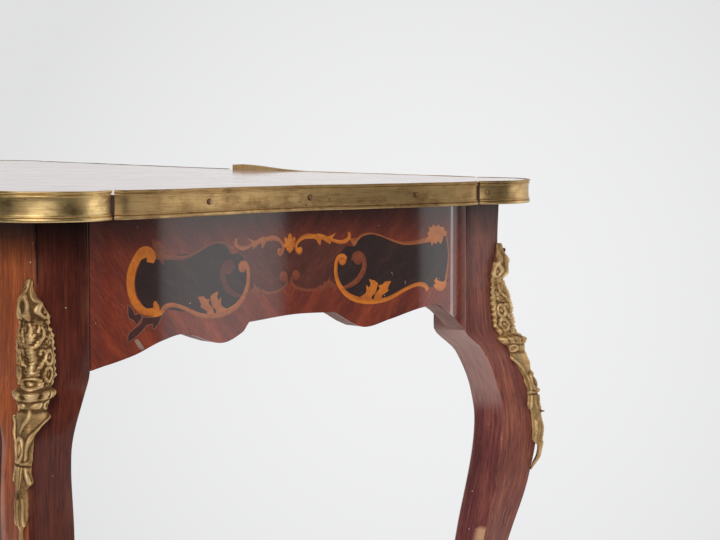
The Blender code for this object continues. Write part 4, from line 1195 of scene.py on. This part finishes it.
def rib(a, b, points, widths, heights):
    """Rounded ridge along a smooth line, with widths and heights along it."""
    line = smooth_line(points, 1.5)
    shares = np.linspace(0, 1, len(line))
    width = np.interp(shares, np.linspace(0, 1, len(widths)), widths)
    height = np.interp(shares, np.linspace(0, 1, len(heights)), heights)
    best = np.zeros_like(a)
    for k, (start, end) in enumerate(zip(line, line[1:])):
        run = end - start
        t = np.clip(((a - start[0]) * run[0] + (b - start[1]) * run[1]) / (run @ run), 0, 1)
        off = (a - start[0] - t * run[0]) ** 2 + (b - start[1] - t * run[1]) ** 2
        wide = width[k] + t * (width[k + 1] - width[k])
        high = height[k] + t * (height[k + 1] - height[k])
        best = np.maximum(best, high * np.clip(1 - off / wide ** 2, 0, 1) ** 0.7)
    return best


def rosette(a, b, middle, radius, petals, height):
    x, y = a - middle[0], b - middle[1]
    reach = np.hypot(x, y) / radius
    turn = np.arctan2(y, x)
    petal = np.clip(1 - reach ** 2, 0, 1) * (0.62 + 0.38 * np.cos(petals * turn))
    return height * np.maximum(petal, 1.1 * np.clip(1 - (reach / 0.34) ** 2, 0, 1))


def chute_relief(a, b):
    """Chasing of a chute over its main form, in millimetres: foliage, flowers, ledge, wings and flutes."""
    side = np.abs(a)
    parts = [
        rib(side, b, ((0, 0), (0, 6), (0, 11.5)), (2.2, 2.0, 1.2), (1.2, 1.4, 0.8)),
        rib(side, b, ((3.6, 2), (3.4, 8), (5.4, 14), (9.4, 20), (12.4, 27), (13.4, 33)),
            (1.0, 1.1, 1.4, 1.6, 1.5, 1.1), (0.8, 1.2, 1.7, 1.9, 1.7, 1.0)),
        hoop(a, b, (0, 20.5), (2.6, 8.2), 1.1, 1.9),
        hoop(side, b, (9.2, 23.6), (3.4, 5.2), 1.4, 2.1),
        bump(side, b, (9.2, 24.0), (1.2, 1.8), 1.3),
        rib(side, b, ((12.2, 35), (13.8, 42), (14.6, 51), (14.8, 60), (15.6, 69), (14.0, 76)),
            (1.1, 1.3, 1.3, 1.3, 1.4, 1.1), (1.3, 1.7, 1.6, 1.7, 1.8, 1.3)),
        rib(side, b, ((1.6, 50.4), (3.6, 46.4), (6.6, 42), (6.4, 37.5), (3.8, 36), (3.2, 39)),
            (0.9, 1.1, 1.2, 1.1, 0.9, 0.8), (1.2, 1.8, 2.0, 1.8, 1.4, 1.1)),
        rib(side, b, ((0.3, 48), (1.4, 44), (1.8, 40.5)), (1.0, 1.2, 0.8), (1.3, 1.7, 1.0)),
        rib(side, b, ((1.6, 66), (4.2, 62), (6.6, 57), (5.6, 53), (3.4, 52.6), (3.0, 55.6)),
            (0.9, 1.1, 1.2, 1.1, 0.9, 0.8), (1.2, 1.9, 2.0, 1.9, 1.5, 1.2)),
        rib(side, b, ((0, 33), (0.3, 50), (0, 66)), (0.8, 1.2, 1.0), (1.2, 2.0, 1.6)),
        rosette(side, b, (10.6, 45.0), 4.8, 5, 2.3),
        hoop(side, b, (9.4, 58.4), (3.2, 5.2), 1.3, 2.1),
        bump(side, b, (9.4, 58.4), (1.2, 2.2), 1.4),
        rosette(a, b, (0, 68.4), 3.6, 5, 1.9),
        hoop(side, b, (8.6, 71.0), (3.2, 5.0), 1.2, 2.1),
        bump(side, b, (8.4, 70.8), (1.4, 3.2), 1.3),
        hoop(a, b, (0, 76.2), (3.8, 3.4), 1.1, 1.8),
        bump(a, b, (0, 76.2), (1.7, 1.7), 1.4),
        rib(side, b, ((0, 83.4), (8, 82.6), (17, 83.2)), (1.5, 1.4, 1.0), (1.5, 1.3, 0.9)),
        rib(side, b, ((0, 87.0), (9, 86.6), (16, 86.4)), (1.2, 1.2, 0.8), (1.0, 1.1, 0.7)),
        *(bump(side, b, (x, 84.2), (1.9, 2.8), 1.7) for x in (0.0, 4.8, 9.6, 14.2)),
        bump(side, b, (3.0, 91.4), (2.0, 1.9), 1.5),
        hoop(side, b, (8.6, 92.0), (2.4, 2.4), 1.0, 1.5),
        rib(side, b, ((16.6, 99.6), (13.6, 102.4), (10.2, 107.2), (7.6, 113), (6.2, 120), (5.8, 128)),
            (1.4, 1.6, 1.5, 1.3, 1.1, 1.0), (1.7, 2.1, 2.0, 1.7, 1.4, 1.2)),
        bump(side, b, (15.6, 99.4), (1.6, 1.8), 2.0),
        rib(side, b, ((0, 95), (0, 103), (0, 111)), (1.0, 1.3, 0.9), (1.0, 1.2, 0.8)),
        hoop(a, b, (0, 121.4), (4.2, 7.6), 1.2, 2.0),
        bump(a, b, (0, 121.4), (1.9, 5.0), 1.8),
        rib(side, b, ((0, 130.6), (3.4, 130.8), (6.8, 130.2)), (0.9, 0.9, 0.8), (1.0, 1.0, 0.7)),
        rib(side, b, ((5.6, 134), (6.4, 139), (7.6, 143.5)), (0.9, 1.3, 1.1), (0.9, 1.5, 1.2)),
        rib(side, b, ((0, 134), (0, 142), (0, 150)), (1.1, 0.9, 0.6), (1.1, 1.0, 0.6)),
        rib(side, b, ((2.8, 134), (2.4, 142), (1.2, 150)), (0.8, 0.7, 0.5), (0.9, 0.9, 0.6)),
        rib(side, b, ((4.4, 156), (4.8, 168), (4.6, 178), (2.6, 192)), (0.9, 1.1, 1.0, 0.7), (0.7, 1.2, 1.0, 0.5)),
        rib(side, b, ((0, 157), (0, 170), (0, 196)), (1.2, 1.1, 0.8), (0.9, 1.0, 0.4)),
    ]
    for number in range(11):
        level = 28.0 + 4.9 * number
        parts.append(bump(side, b, (eased(CHUTE_SPREAD, level) - 1.4, level), (2.0, 2.3), 1.5))
    relief = np.maximum.reduce(parts)
    leafy = np.clip((b - 30) / 6, 0, 1) * np.clip((80 - b) / 4, 0, 1) * np.clip((10 - side) / 3, 0.25, 1)
    leaves = np.array([
        [0.5 - 2.4 * abs(noise.noise(Vector((0.52 * x, 0.42 * y, 3.0)))) for x, y in zip(*line)] for line in zip(a, b)
    ])
    relief = relief + (0.14 + 0.95 * leafy) * leaves
    relief = relief - 0.9 * np.exp(-((b - 132.6) / 0.8) ** 2) - 0.7 * np.exp(-((b - 80.0) / 1.0) ** 2)
    petals = sum(np.exp(-((side - x) / 0.8) ** 2) for x in (2.4, 7.2, 12.0))
    relief = relief - 2.0 * petals * np.exp(-((b - 84.0) / 3.0) ** 2)
    return relief - 1.1 * np.exp(-((b - 95.0) / 1.4) ** 2)


def blurred(field, reach):
    """Field averaged over a square of cells round each one."""
    padded = np.pad(field, reach, mode="edge")
    total = np.zeros_like(field)
    for i in range(2 * reach + 1):
        for j in range(2 * reach + 1):
            total += padded[i:i + field.shape[0], j:j + field.shape[1]]
    return total / (2 * reach + 1) ** 2


def chute_fields():
    """Places across, places down, heights and relief shares of a chute, in millimetres."""
    rows = np.linspace(0, CHUTE_LENGTH, round(CHUTE_LENGTH / CHUTE_ROW) + 1)
    share = np.linspace(-1, 1, CHUTE_COLUMNS)
    share = np.sign(share) * np.abs(share) ** 0.9
    spread = np.array([eased(CHUTE_SPREAD, row) for row in rows])
    leafy = np.clip((rows - 24) / 4, 0, 1) * np.clip((80 - rows) / 3, 0, 1)
    spread = spread + 0.8 * leafy * np.cos((rows - 28.0) * 2 * math.pi / 4.9)
    crest = np.array([eased(CHUTE_CREST, row) for row in rows])
    b = np.repeat(rows[:, None], CHUTE_COLUMNS, axis=1)
    a = np.array([[wide * part for part in share] for wide in spread])
    swirl = np.array([
        [noise.noise_vector(Vector((0.13 * x, 0.13 * y, 0.0))) for x, y in zip(*line)] for line in zip(a, b)
    ])
    ragged = (0.10 + 0.07 * np.clip((rows - 104) / 10, 0, 1))[:, None]
    a = a * (1 + ragged * (swirl[:, :1, 2] * (share < 0) + swirl[:, -1:, 2] * (share > 0)))
    dome = CHUTE_EDGE + (crest[:, None] - CHUTE_EDGE) * (1 - np.abs(share[None, :]) ** 2.2)
    loosened = 1.5 - 0.7 * np.clip((b - 96) / 14, 0, 1)
    relief = chute_relief(a + loosened * swirl[:, :, 0], b + loosened * swirl[:, :, 1]) * (1 + 0.35 * swirl[:, :, 2])
    rim = np.clip((1 - np.abs(share[None, :])) * spread[:, None] / 0.9, 0, 1)
    height = dome + relief * np.clip(rim, 0.25, 1)
    fine = relief - blurred(relief, 3)
    wide = relief - blurred(relief, 7)
    proud = np.clip(0.5 + 0.55 * fine + 0.35 * wide, 0, 1)
    return a, rows, height, proud


CHUTE_FIELDS = chute_fields()


def chute_point(section, a, height):
    """Point over a leg's rounded outer arris: a distance along the faces and a height off them."""
    outer, side = Vector(section[0]), Vector(section[1])
    along = (side - outer).normalized()
    reach = abs(a) * MM
    rounding = ARRIS_ROUND * MM
    sign = -1.0 if a < 0 else 1.0
    face_normal = Vector((along.y, -along.x))
    if reach >= rounding:
        base = outer + along * reach
        normal = face_normal
    else:
        t = 0.5 + 0.5 * reach / rounding
        other = Vector((along.x, -along.y))
        base = outer + other * (rounding * (1 - t) ** 2) + along * (rounding * t ** 2)
        ease = t * t * (3 - 2 * t)
        normal = (Vector((face_normal.x, -face_normal.y)) * (1 - ease) + face_normal * ease).normalized()
    spot = base + normal * (height * MM)
    return spot.x, sign * spot.y


def build_chute(corner):
    """Cast mount of a knee, chased on a fine mesh that follows the leg's two outer faces."""
    up = corner_place(corner)
    across, rows, heights, proud = CHUTE_FIELDS

    def place(row, a, height):
        settle = eased(CHUTE_SETTLE, row) if corner == "front_right" else 0.0
        lean = eased(CHUTE_LEAN, row) if corner == "front_right" else 0.0
        loose = eased(CHUTE_LOOSE, row) if corner == "back_right" else 0.0
        drop = CHUTE_TOP_DROP + (row + settle) * MM
        a += eased(LOOSE_SHIFT if corner == "back_right" else CHUTE_SHIFT, row) + lean
        hug = 4.0 if row < LOOSE_FREE else 40.0
        height += loose * min(max(1 - a / hug, 0.0), 1.0) + CHUTE_CLEAR / MM
        height += 0.28 * ARRIS_ROUND * max(1 - abs(a) / ARRIS_ROUND, 0.0) ** 2
        return up(*chute_point(leg_ring(drop), a, height), HEIGHT - drop)

    rings = []
    relief = []
    for number, row in enumerate(rows):
        ring = [place(row, a, height) for a, height in zip(across[number], heights[number])]
        width = across[number][-1]
        ring += [place(row, width, 0.0), place(row, 0.0, 0.8), place(row, -width, 0.0)]
        rings.append(ring)
        relief += list(proud[number] + CHUTE_BRIGHTENED.get(corner, 0.0)) + [0.2] * 3
    verts = [vert for ring in rings for vert in ring]
    flip = CORNERS[corner][0] * CORNERS[corner][1] < 0
    piece(
        "cast_chute_" + corner, verts, outward(loft(rings), not flip), [MATERIALS["bronze"]], "chute_" + corner, "gilt_bronze",
        sharp=80.0, relief=relief,
    )
    for number, (row, radius, rise) in enumerate(PIN_ROWS.get(corner, COMMON_PINS), 1):
        spot = place(row, 0.0, eased(CHUTE_CREST, row) + 1.2)
        seat = (spot, spot - place(row, 0.0, 0.0))
        domes("chute_%s_pin_%d" % (corner, number), [seat], radius, rise, MATERIALS["pin"], slot="gilt_bronze")


def sabot_top(turn):
    """Rise of a sabot's leafy upper edge at a turn round the foot, where 0 is the outer arris."""
    tip = abs((turn + 0.5) % 1.0 - 0.5) * 2
    leaf_tip = SABOT_RISE * (0.80 + 0.20 * math.exp(-(tip / 0.16) ** 2))
    return leaf_tip - 0.006 * abs(math.sin(math.pi * 4.5 * tip)) ** 0.8 * min(1.0, tip * 5)


def build_sabot(corner):
    """Cast shoe of a foot, with a leaf up its outer arris, side leaves and a moulded base."""
    place = corner_place(corner)
    rows = 44
    rings = []
    relief = []
    for number in range(rows + 1):
        share = number / rows
        ring = []
        count = len(rounded(leg_ring(FOOT_DROP), 0.003, 6, 12)[0])
        for i in range(count):
            turn = (i / count - 0.019) % 1.0
            rise = share * sabot_top(turn)
            drop = min(HEIGHT - rise, FOOT_DROP)
            points = rounded(leg_ring(drop), 0.003, 6, 12)[0]
            middle = Vector((sum(p.x for p in points) / count, sum(p.y for p in points) / count))
            along = (points[(i + 1) % count] - points[i - 1]).normalized()
            normal = Vector((along.y, -along.x))
            if normal.dot(points[i] - middle) < 0:
                normal = -normal
            tip = abs((turn + 0.5) % 1.0 - 0.5) * 2
            vein = 0.5 + 0.5 * math.cos(2 * math.pi * (9 * tip + 1.4 * share))
            chasing = 0.9 * vein * min(1.0, 6 * share) * min(1.0, 4 * (1 - share))
            spine = 1.5 * math.exp(-(tip / 0.05) ** 2) * min(1.0, 5 * share) * (1 - 0.5 * share)
            base = 1.5 * math.exp(-((rise - 0.004) / 0.0035) ** 2) + 1.0 * math.exp(-((rise - 0.0125) / 0.0025) ** 2)
            thick = 1.4 + chasing + spine + base
            if share == 1.0:
                thick = 0.9
            ring.append(place(*(points[i] + normal * (SABOT_FIT + thick * MM)), rise))
            relief.append(min(1.0, 0.15 + 0.55 * vein + 0.25 * spine + 0.3 * base))
        rings.append(ring)
    inner = []
    for i in range(count):
        rise = sabot_top((i / count - 0.019) % 1.0)
        points = rounded(leg_ring(HEIGHT - rise), 0.003, 6, 12)[0]
        inner.append(place(*(points[i] * 1.0), rise - 0.0004))
        relief.append(0.2)
    rings.append(inner)
    verts = [vert for ring in rings for vert in ring]
    flip = CORNERS[corner][0] * CORNERS[corner][1] < 0
    piece(
        "cast_sabot_" + corner, verts, outward(loft(rings), flip), [MATERIALS["bronze"]], "sabot_" + corner, "gilt_bronze",
        sharp=70.0, relief=relief,
    )


# Top
BORDER = 0.052
STRING = 0.0016
BORDER_HOLLOW = 0.012


def border_line(inset):
    """Closed serpentine line in the top, an inset from its side lines, with hollow corners."""
    points = []
    names = list(SIDES)
    steps = 40
    for side, following in zip(names, names[1:] + names[:1]):
        half, hollow, reach = SIDES[side][3:]
        run = half - BORDER_HOLLOW
        place = side_place(side)
        for i in range(steps + 1):
            along = run * (2 * i / steps - 1)
            points.append(place(along, inset - reach + hollow * (1 + math.cos(math.pi * along / run)) / 2, 0))
        far = points[-1]
        next_half, _, next_reach = SIDES[following][3:]
        near = side_place(following)(BORDER_HOLLOW - next_half, inset - next_reach, 0)
        corner = Vector((
            math.copysign(min(abs(far.x), abs(near.x)), far.x), math.copysign(min(abs(far.y), abs(near.y)), far.y), 0,
        ))
        for i in range(1, 8):
            t = i / 8
            points.append(far * (1 - t) ** 2 + corner * (2 * t * (1 - t)) + near * t ** 2)
    return np.array([(point.x, point.y) for point in points]) / MM


def build_top(outline):
    """Veneered top: cross-banded border, pale line and a quartered field."""
    boundary = np.array([tuple((point - normal * (BAND_THICK + GAP)).xy) for point, normal in outline]) / MM
    loops = [("line", border_line(BORDER)), ("field", border_line(BORDER + STRING))]
    shapes = [(name, loop, np.full(len(loop), 0.5)) for name, loop in loops]
    for sign_x in (-1, 1):
        for sign_y in (-1, 1):
            quarter = np.array(((0, 0), (LINE_X, 0), (LINE_X, LINE_Y), (0, LINE_Y))) * (sign_x, sign_y) / MM
            shapes.append(("quarter", quarter, np.full(4, 0.5)))
    flat, faces, over, _ = tiled(boundary, shapes, 16.0)
    middles = np.array([flat[list(face)].mean(0) for face in faces])
    in_line = inside(loops[0][1], middles)
    in_field = inside(loops[1][1], middles)
    kinds = []
    for middle, lined, fielded in zip(middles, in_line, in_field):
        if fielded:
            kinds.append(2 if middle[0] * middle[1] > 0 else 3)
        elif lined:
            kinds.append(4)
        else:
            end = LINE_X / MM - abs(middle[0]) < LINE_Y / MM - abs(middle[1])
            kinds.append(1 if end else 0)
    front = [Vector((x, y, HEIGHT)) for x, y in flat * MM]
    back = [vert - Vector((0, 0, VENEER_THICK)) for vert in front]
    verts, every = thickened(front, back, faces)
    kinds += [0] * (len(every) - len(kinds))
    sheet = np.concatenate((flat * MM, np.zeros((len(flat), 1))), axis=1)
    materials = [
        top_veneer("top_border_long", math.radians(90), TOP_TONES, TOP_STREAK),
        top_veneer("top_border_end", 0.0, TOP_TONES, TOP_STREAK),
        top_veneer("top_field_one", math.radians(38), TOP_TONES, TOP_STREAK),
        top_veneer("top_field_two", math.radians(-38), TOP_TONES, TOP_STREAK),
        MATERIALS["box"],
    ]
    piece(
        "quartered_top", verts, every, materials, "top_veneer", "rosewood_veneer", kinds,
        veneer=np.concatenate((sheet, sheet)), shade=np.zeros(2 * len(flat)),
    )


def dress_solids():
    """Finishes of the solids that stay as they are."""
    for name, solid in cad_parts.items():
        if name.startswith(("apron_right", "apron_left", "corner_block", "tenon_peg")):
            surface = MATERIALS["carcase_y"]
        elif name.startswith(("apron_front", "apron_back")):
            surface = MATERIALS["carcase_x"]
        elif name == "top_core":
            # Painted shade: the near black core darkens the clefts at the band's notches.
            surface = MATERIALS["stained"]
        elif "screw" in name:
            surface = MATERIALS["iron"]
        else:
            continue
        solid.data.materials.clear()
        solid.data.materials.append(surface)


# Studio
PHOTO_WIDTH = 720
PHOTO_FOCAL = 2000.0
PHOTO_MIDDLE_Y = 270.0
PHOTO_HORIZON_Y = 105.6
CAMERA_PLACE = (1.587, -1.038, 0.814)
CAMERA_YAW = math.radians(47.07)
BACKDROP = (0.83, 0.832, 0.84)
BRIGHT_MIDDLE = math.radians(120.65)
BRIGHT_REACH = math.radians(79.35)
WINDOW_MIDDLE = math.radians(61.3)
WINDOW_REACH = math.radians(20.0)
SECTOR_EDGE = 0.006
ROOM_DIM = 0.12
ROOM_BRIGHT = 0.95
WINDOW_EXTRA = 0.45
LIGHT_MIDDLE = math.radians(55.0)
LIGHT_DROP = math.radians(-4.75)
LIGHT_REACH = math.radians(4.4)
LIGHT_EXTRA = 2.6
BACKDROP_MIDDLE = (-0.708, 0.706, -0.10)


def build_camera():
    """Camera at the photograph's place, tilted down from the horizon."""
    data = bpy.data.cameras.new("photo_camera")
    data.sensor_width = 36.0
    data.lens = PHOTO_FOCAL * data.sensor_width / PHOTO_WIDTH
    data.clip_start = 0.01
    data.clip_end = 100.0
    camera = bpy.data.objects.new("photo_camera", data)
    camera.location = CAMERA_PLACE
    tilt = math.atan((PHOTO_MIDDLE_Y - PHOTO_HORIZON_Y) / PHOTO_FOCAL)
    camera.rotation_euler = (math.pi / 2 - tilt, 0.0, CAMERA_YAW)
    bpy.context.scene.collection.objects.link(camera)
    bpy.context.scene.camera = camera


def build_world():
    """Pale backdrop for the camera and in reflections, in a room that is bright behind the object and dim before it."""
    world = bpy.data.worlds.new("studio")
    bpy.context.scene.world = world
    world.use_nodes = True
    tree = world.node_tree
    tree.nodes.clear()

    def node(kind, **settings):
        made = tree.nodes.new("ShaderNode" + kind)
        for name, value in settings.items():
            setattr(made, name, value)
        return made

    def sector(middle, reach, low, high, rise=0.0, blur=SECTOR_EDGE):
        """Strength that steps up inside a round part of the room, whose middle has an azimuth and a rise."""
        facing = node("VectorMath", operation="DOT_PRODUCT")
        level = math.cos(rise)
        facing.inputs[1].default_value = (level * math.cos(middle), level * math.sin(middle), math.sin(rise))
        tree.links.new(place.outputs["Generated"], facing.inputs[0])
        step = node("MapRange")
        edge = math.cos(reach)
        for index, value in ((1, edge - blur), (2, edge + blur), (3, low), (4, high)):
            step.inputs[index].default_value = value
        tree.links.new(facing.outputs["Value"], step.inputs[0])
        return step.outputs[0]

    place = node("TexCoord")

    def reckoned(operation, first, second):
        total = node("Math", operation=operation)
        for socket, value in zip(total.inputs, (first, second)):
            tree.links.new(value, socket)
        return total.outputs[0]

    room = node("Background")
    tree.links.new(sector(BRIGHT_MIDDLE, BRIGHT_REACH, ROOM_DIM, ROOM_BRIGHT), room.inputs["Strength"])
    seen = node("Background")
    seen.inputs["Color"].default_value = (*BACKDROP, 1.0)
    glow = node("VectorMath", operation="DOT_PRODUCT")
    glow.inputs[1].default_value = Vector(BACKDROP_MIDDLE).normalized()
    tree.links.new(place.outputs["Generated"], glow.inputs[0])
    fall = node("MapRange")
    for index, value in ((1, 0.975), (2, 1.0), (3, 0.90), (4, 1.05)):
        fall.inputs[index].default_value = value
    tree.links.new(glow.outputs["Value"], fall.inputs[0])
    tree.links.new(fall.outputs[0], seen.inputs["Strength"])
    rays = node("LightPath").outputs
    behind = sector(BRIGHT_MIDDLE, BRIGHT_REACH, 0.0, 1.0)
    mirrored = reckoned("MULTIPLY", rays["Is Glossy Ray"], behind)
    straight = reckoned("MAXIMUM", rays["Is Camera Ray"], rays["Is Transmission Ray"])
    mix = node("MixShader")
    tree.links.new(reckoned("MAXIMUM", straight, mirrored), mix.inputs[0])
    tree.links.new(room.outputs[0], mix.inputs[1])
    tree.links.new(seen.outputs[0], mix.inputs[2])
    openings = reckoned(
        "ADD",
        sector(WINDOW_MIDDLE, WINDOW_REACH, 0.0, WINDOW_EXTRA),
        sector(LIGHT_MIDDLE, LIGHT_REACH, 0.0, LIGHT_EXTRA, LIGHT_DROP, 0.0005),
    )
    unseen = node("MapRange")
    unseen.inputs[3].default_value, unseen.inputs[4].default_value = 1.0, 0.0
    tree.links.new(straight, unseen.inputs[0])
    daylight = node("Background")
    tree.links.new(reckoned("MULTIPLY", openings, unseen.outputs[0]), daylight.inputs["Strength"])
    both = node("AddShader")
    tree.links.new(mix.outputs[0], both.inputs[0])
    tree.links.new(daylight.outputs[0], both.inputs[1])
    tree.links.new(both.outputs[0], node("OutputWorld").inputs[0])


def add_lamp(name, place, aim, size, power, mirrored=True):
    """Soft lamp, hidden from the camera, and from reflections where they would be too bright."""
    data = bpy.data.lights.new(name, "AREA")
    data.shape = "RECTANGLE"
    data.size, data.size_y = size
    data.energy = power
    lamp = bpy.data.objects.new(name, data)
    lamp.location = place
    lamp.rotation_euler = (Vector(aim) - Vector(place)).to_track_quat("-Z", "Y").to_euler()
    lamp.visible_camera = False
    lamp.visible_glossy = mirrored
    bpy.context.scene.collection.objects.link(lamp)


def build_floor():
    """Pale floor that fades into the backdrop away from the table."""
    shader = Shader("pale_floor")
    length = shader.node("VectorMath", {0: shader.position()}, 1, operation="LENGTH")
    fade = shader.level(length, 0.75, 1.55)
    grit = shader.noise(shader.position(), 60.0, 5.0)
    shader.set(base_color=shader.ramp(grit, ((0.3, (0.80, 0.80, 0.805)), (0.7, (0.84, 0.84, 0.845)))), roughness=0.8)
    clear = shader.node("BsdfTransparent", {})
    mixed = shader.node("MixShader", {0: fade, 1: shader.surface.outputs[0], 2: clear})
    shader.tree.links.new(mixed, shader.tree.nodes["Material Output"].inputs[0])
    mesh = bpy.data.meshes.new("floor")
    reach = 2.0
    mesh.from_pydata([(-reach, -reach, 0), (reach, -reach, 0), (reach, reach, 0), (-reach, reach, 0)], [], [(0, 1, 2, 3)])
    mesh.materials.append(shader.material)
    floor = bpy.data.objects.new("floor", mesh)
    bpy.context.scene.collection.objects.link(floor)


band_outline = build_band()
build_top(band_outline)
for side_name in SIDES:
    build_apron(side_name)
for corner_name in CORNERS:
    build_leg(corner_name)
    build_chute(corner_name)
    build_sabot(corner_name)
dress_solids()
build_camera()
build_world()
add_lamp("key", (1.55, -2.05, 2.15), (0.35, -0.15, 0.62), (1.3, 1.3), 42.0, False)
add_lamp("sheen", (1.30, -1.75, 2.80), (0.35, -0.15, 0.62), (2.0, 2.0), 34.0)
add_lamp("front", (2.58, -2.10, 1.25), (0.40, -0.10, 0.60), (2.8, 2.0), 21.0)
add_lamp("overhead", (0.0, 0.2, 2.6), (0.0, 0.0, 0.7), (1.6, 1.6), 22.0, False)
build_floor()
bpy.context.scene.view_settings.view_transform = "Standard"
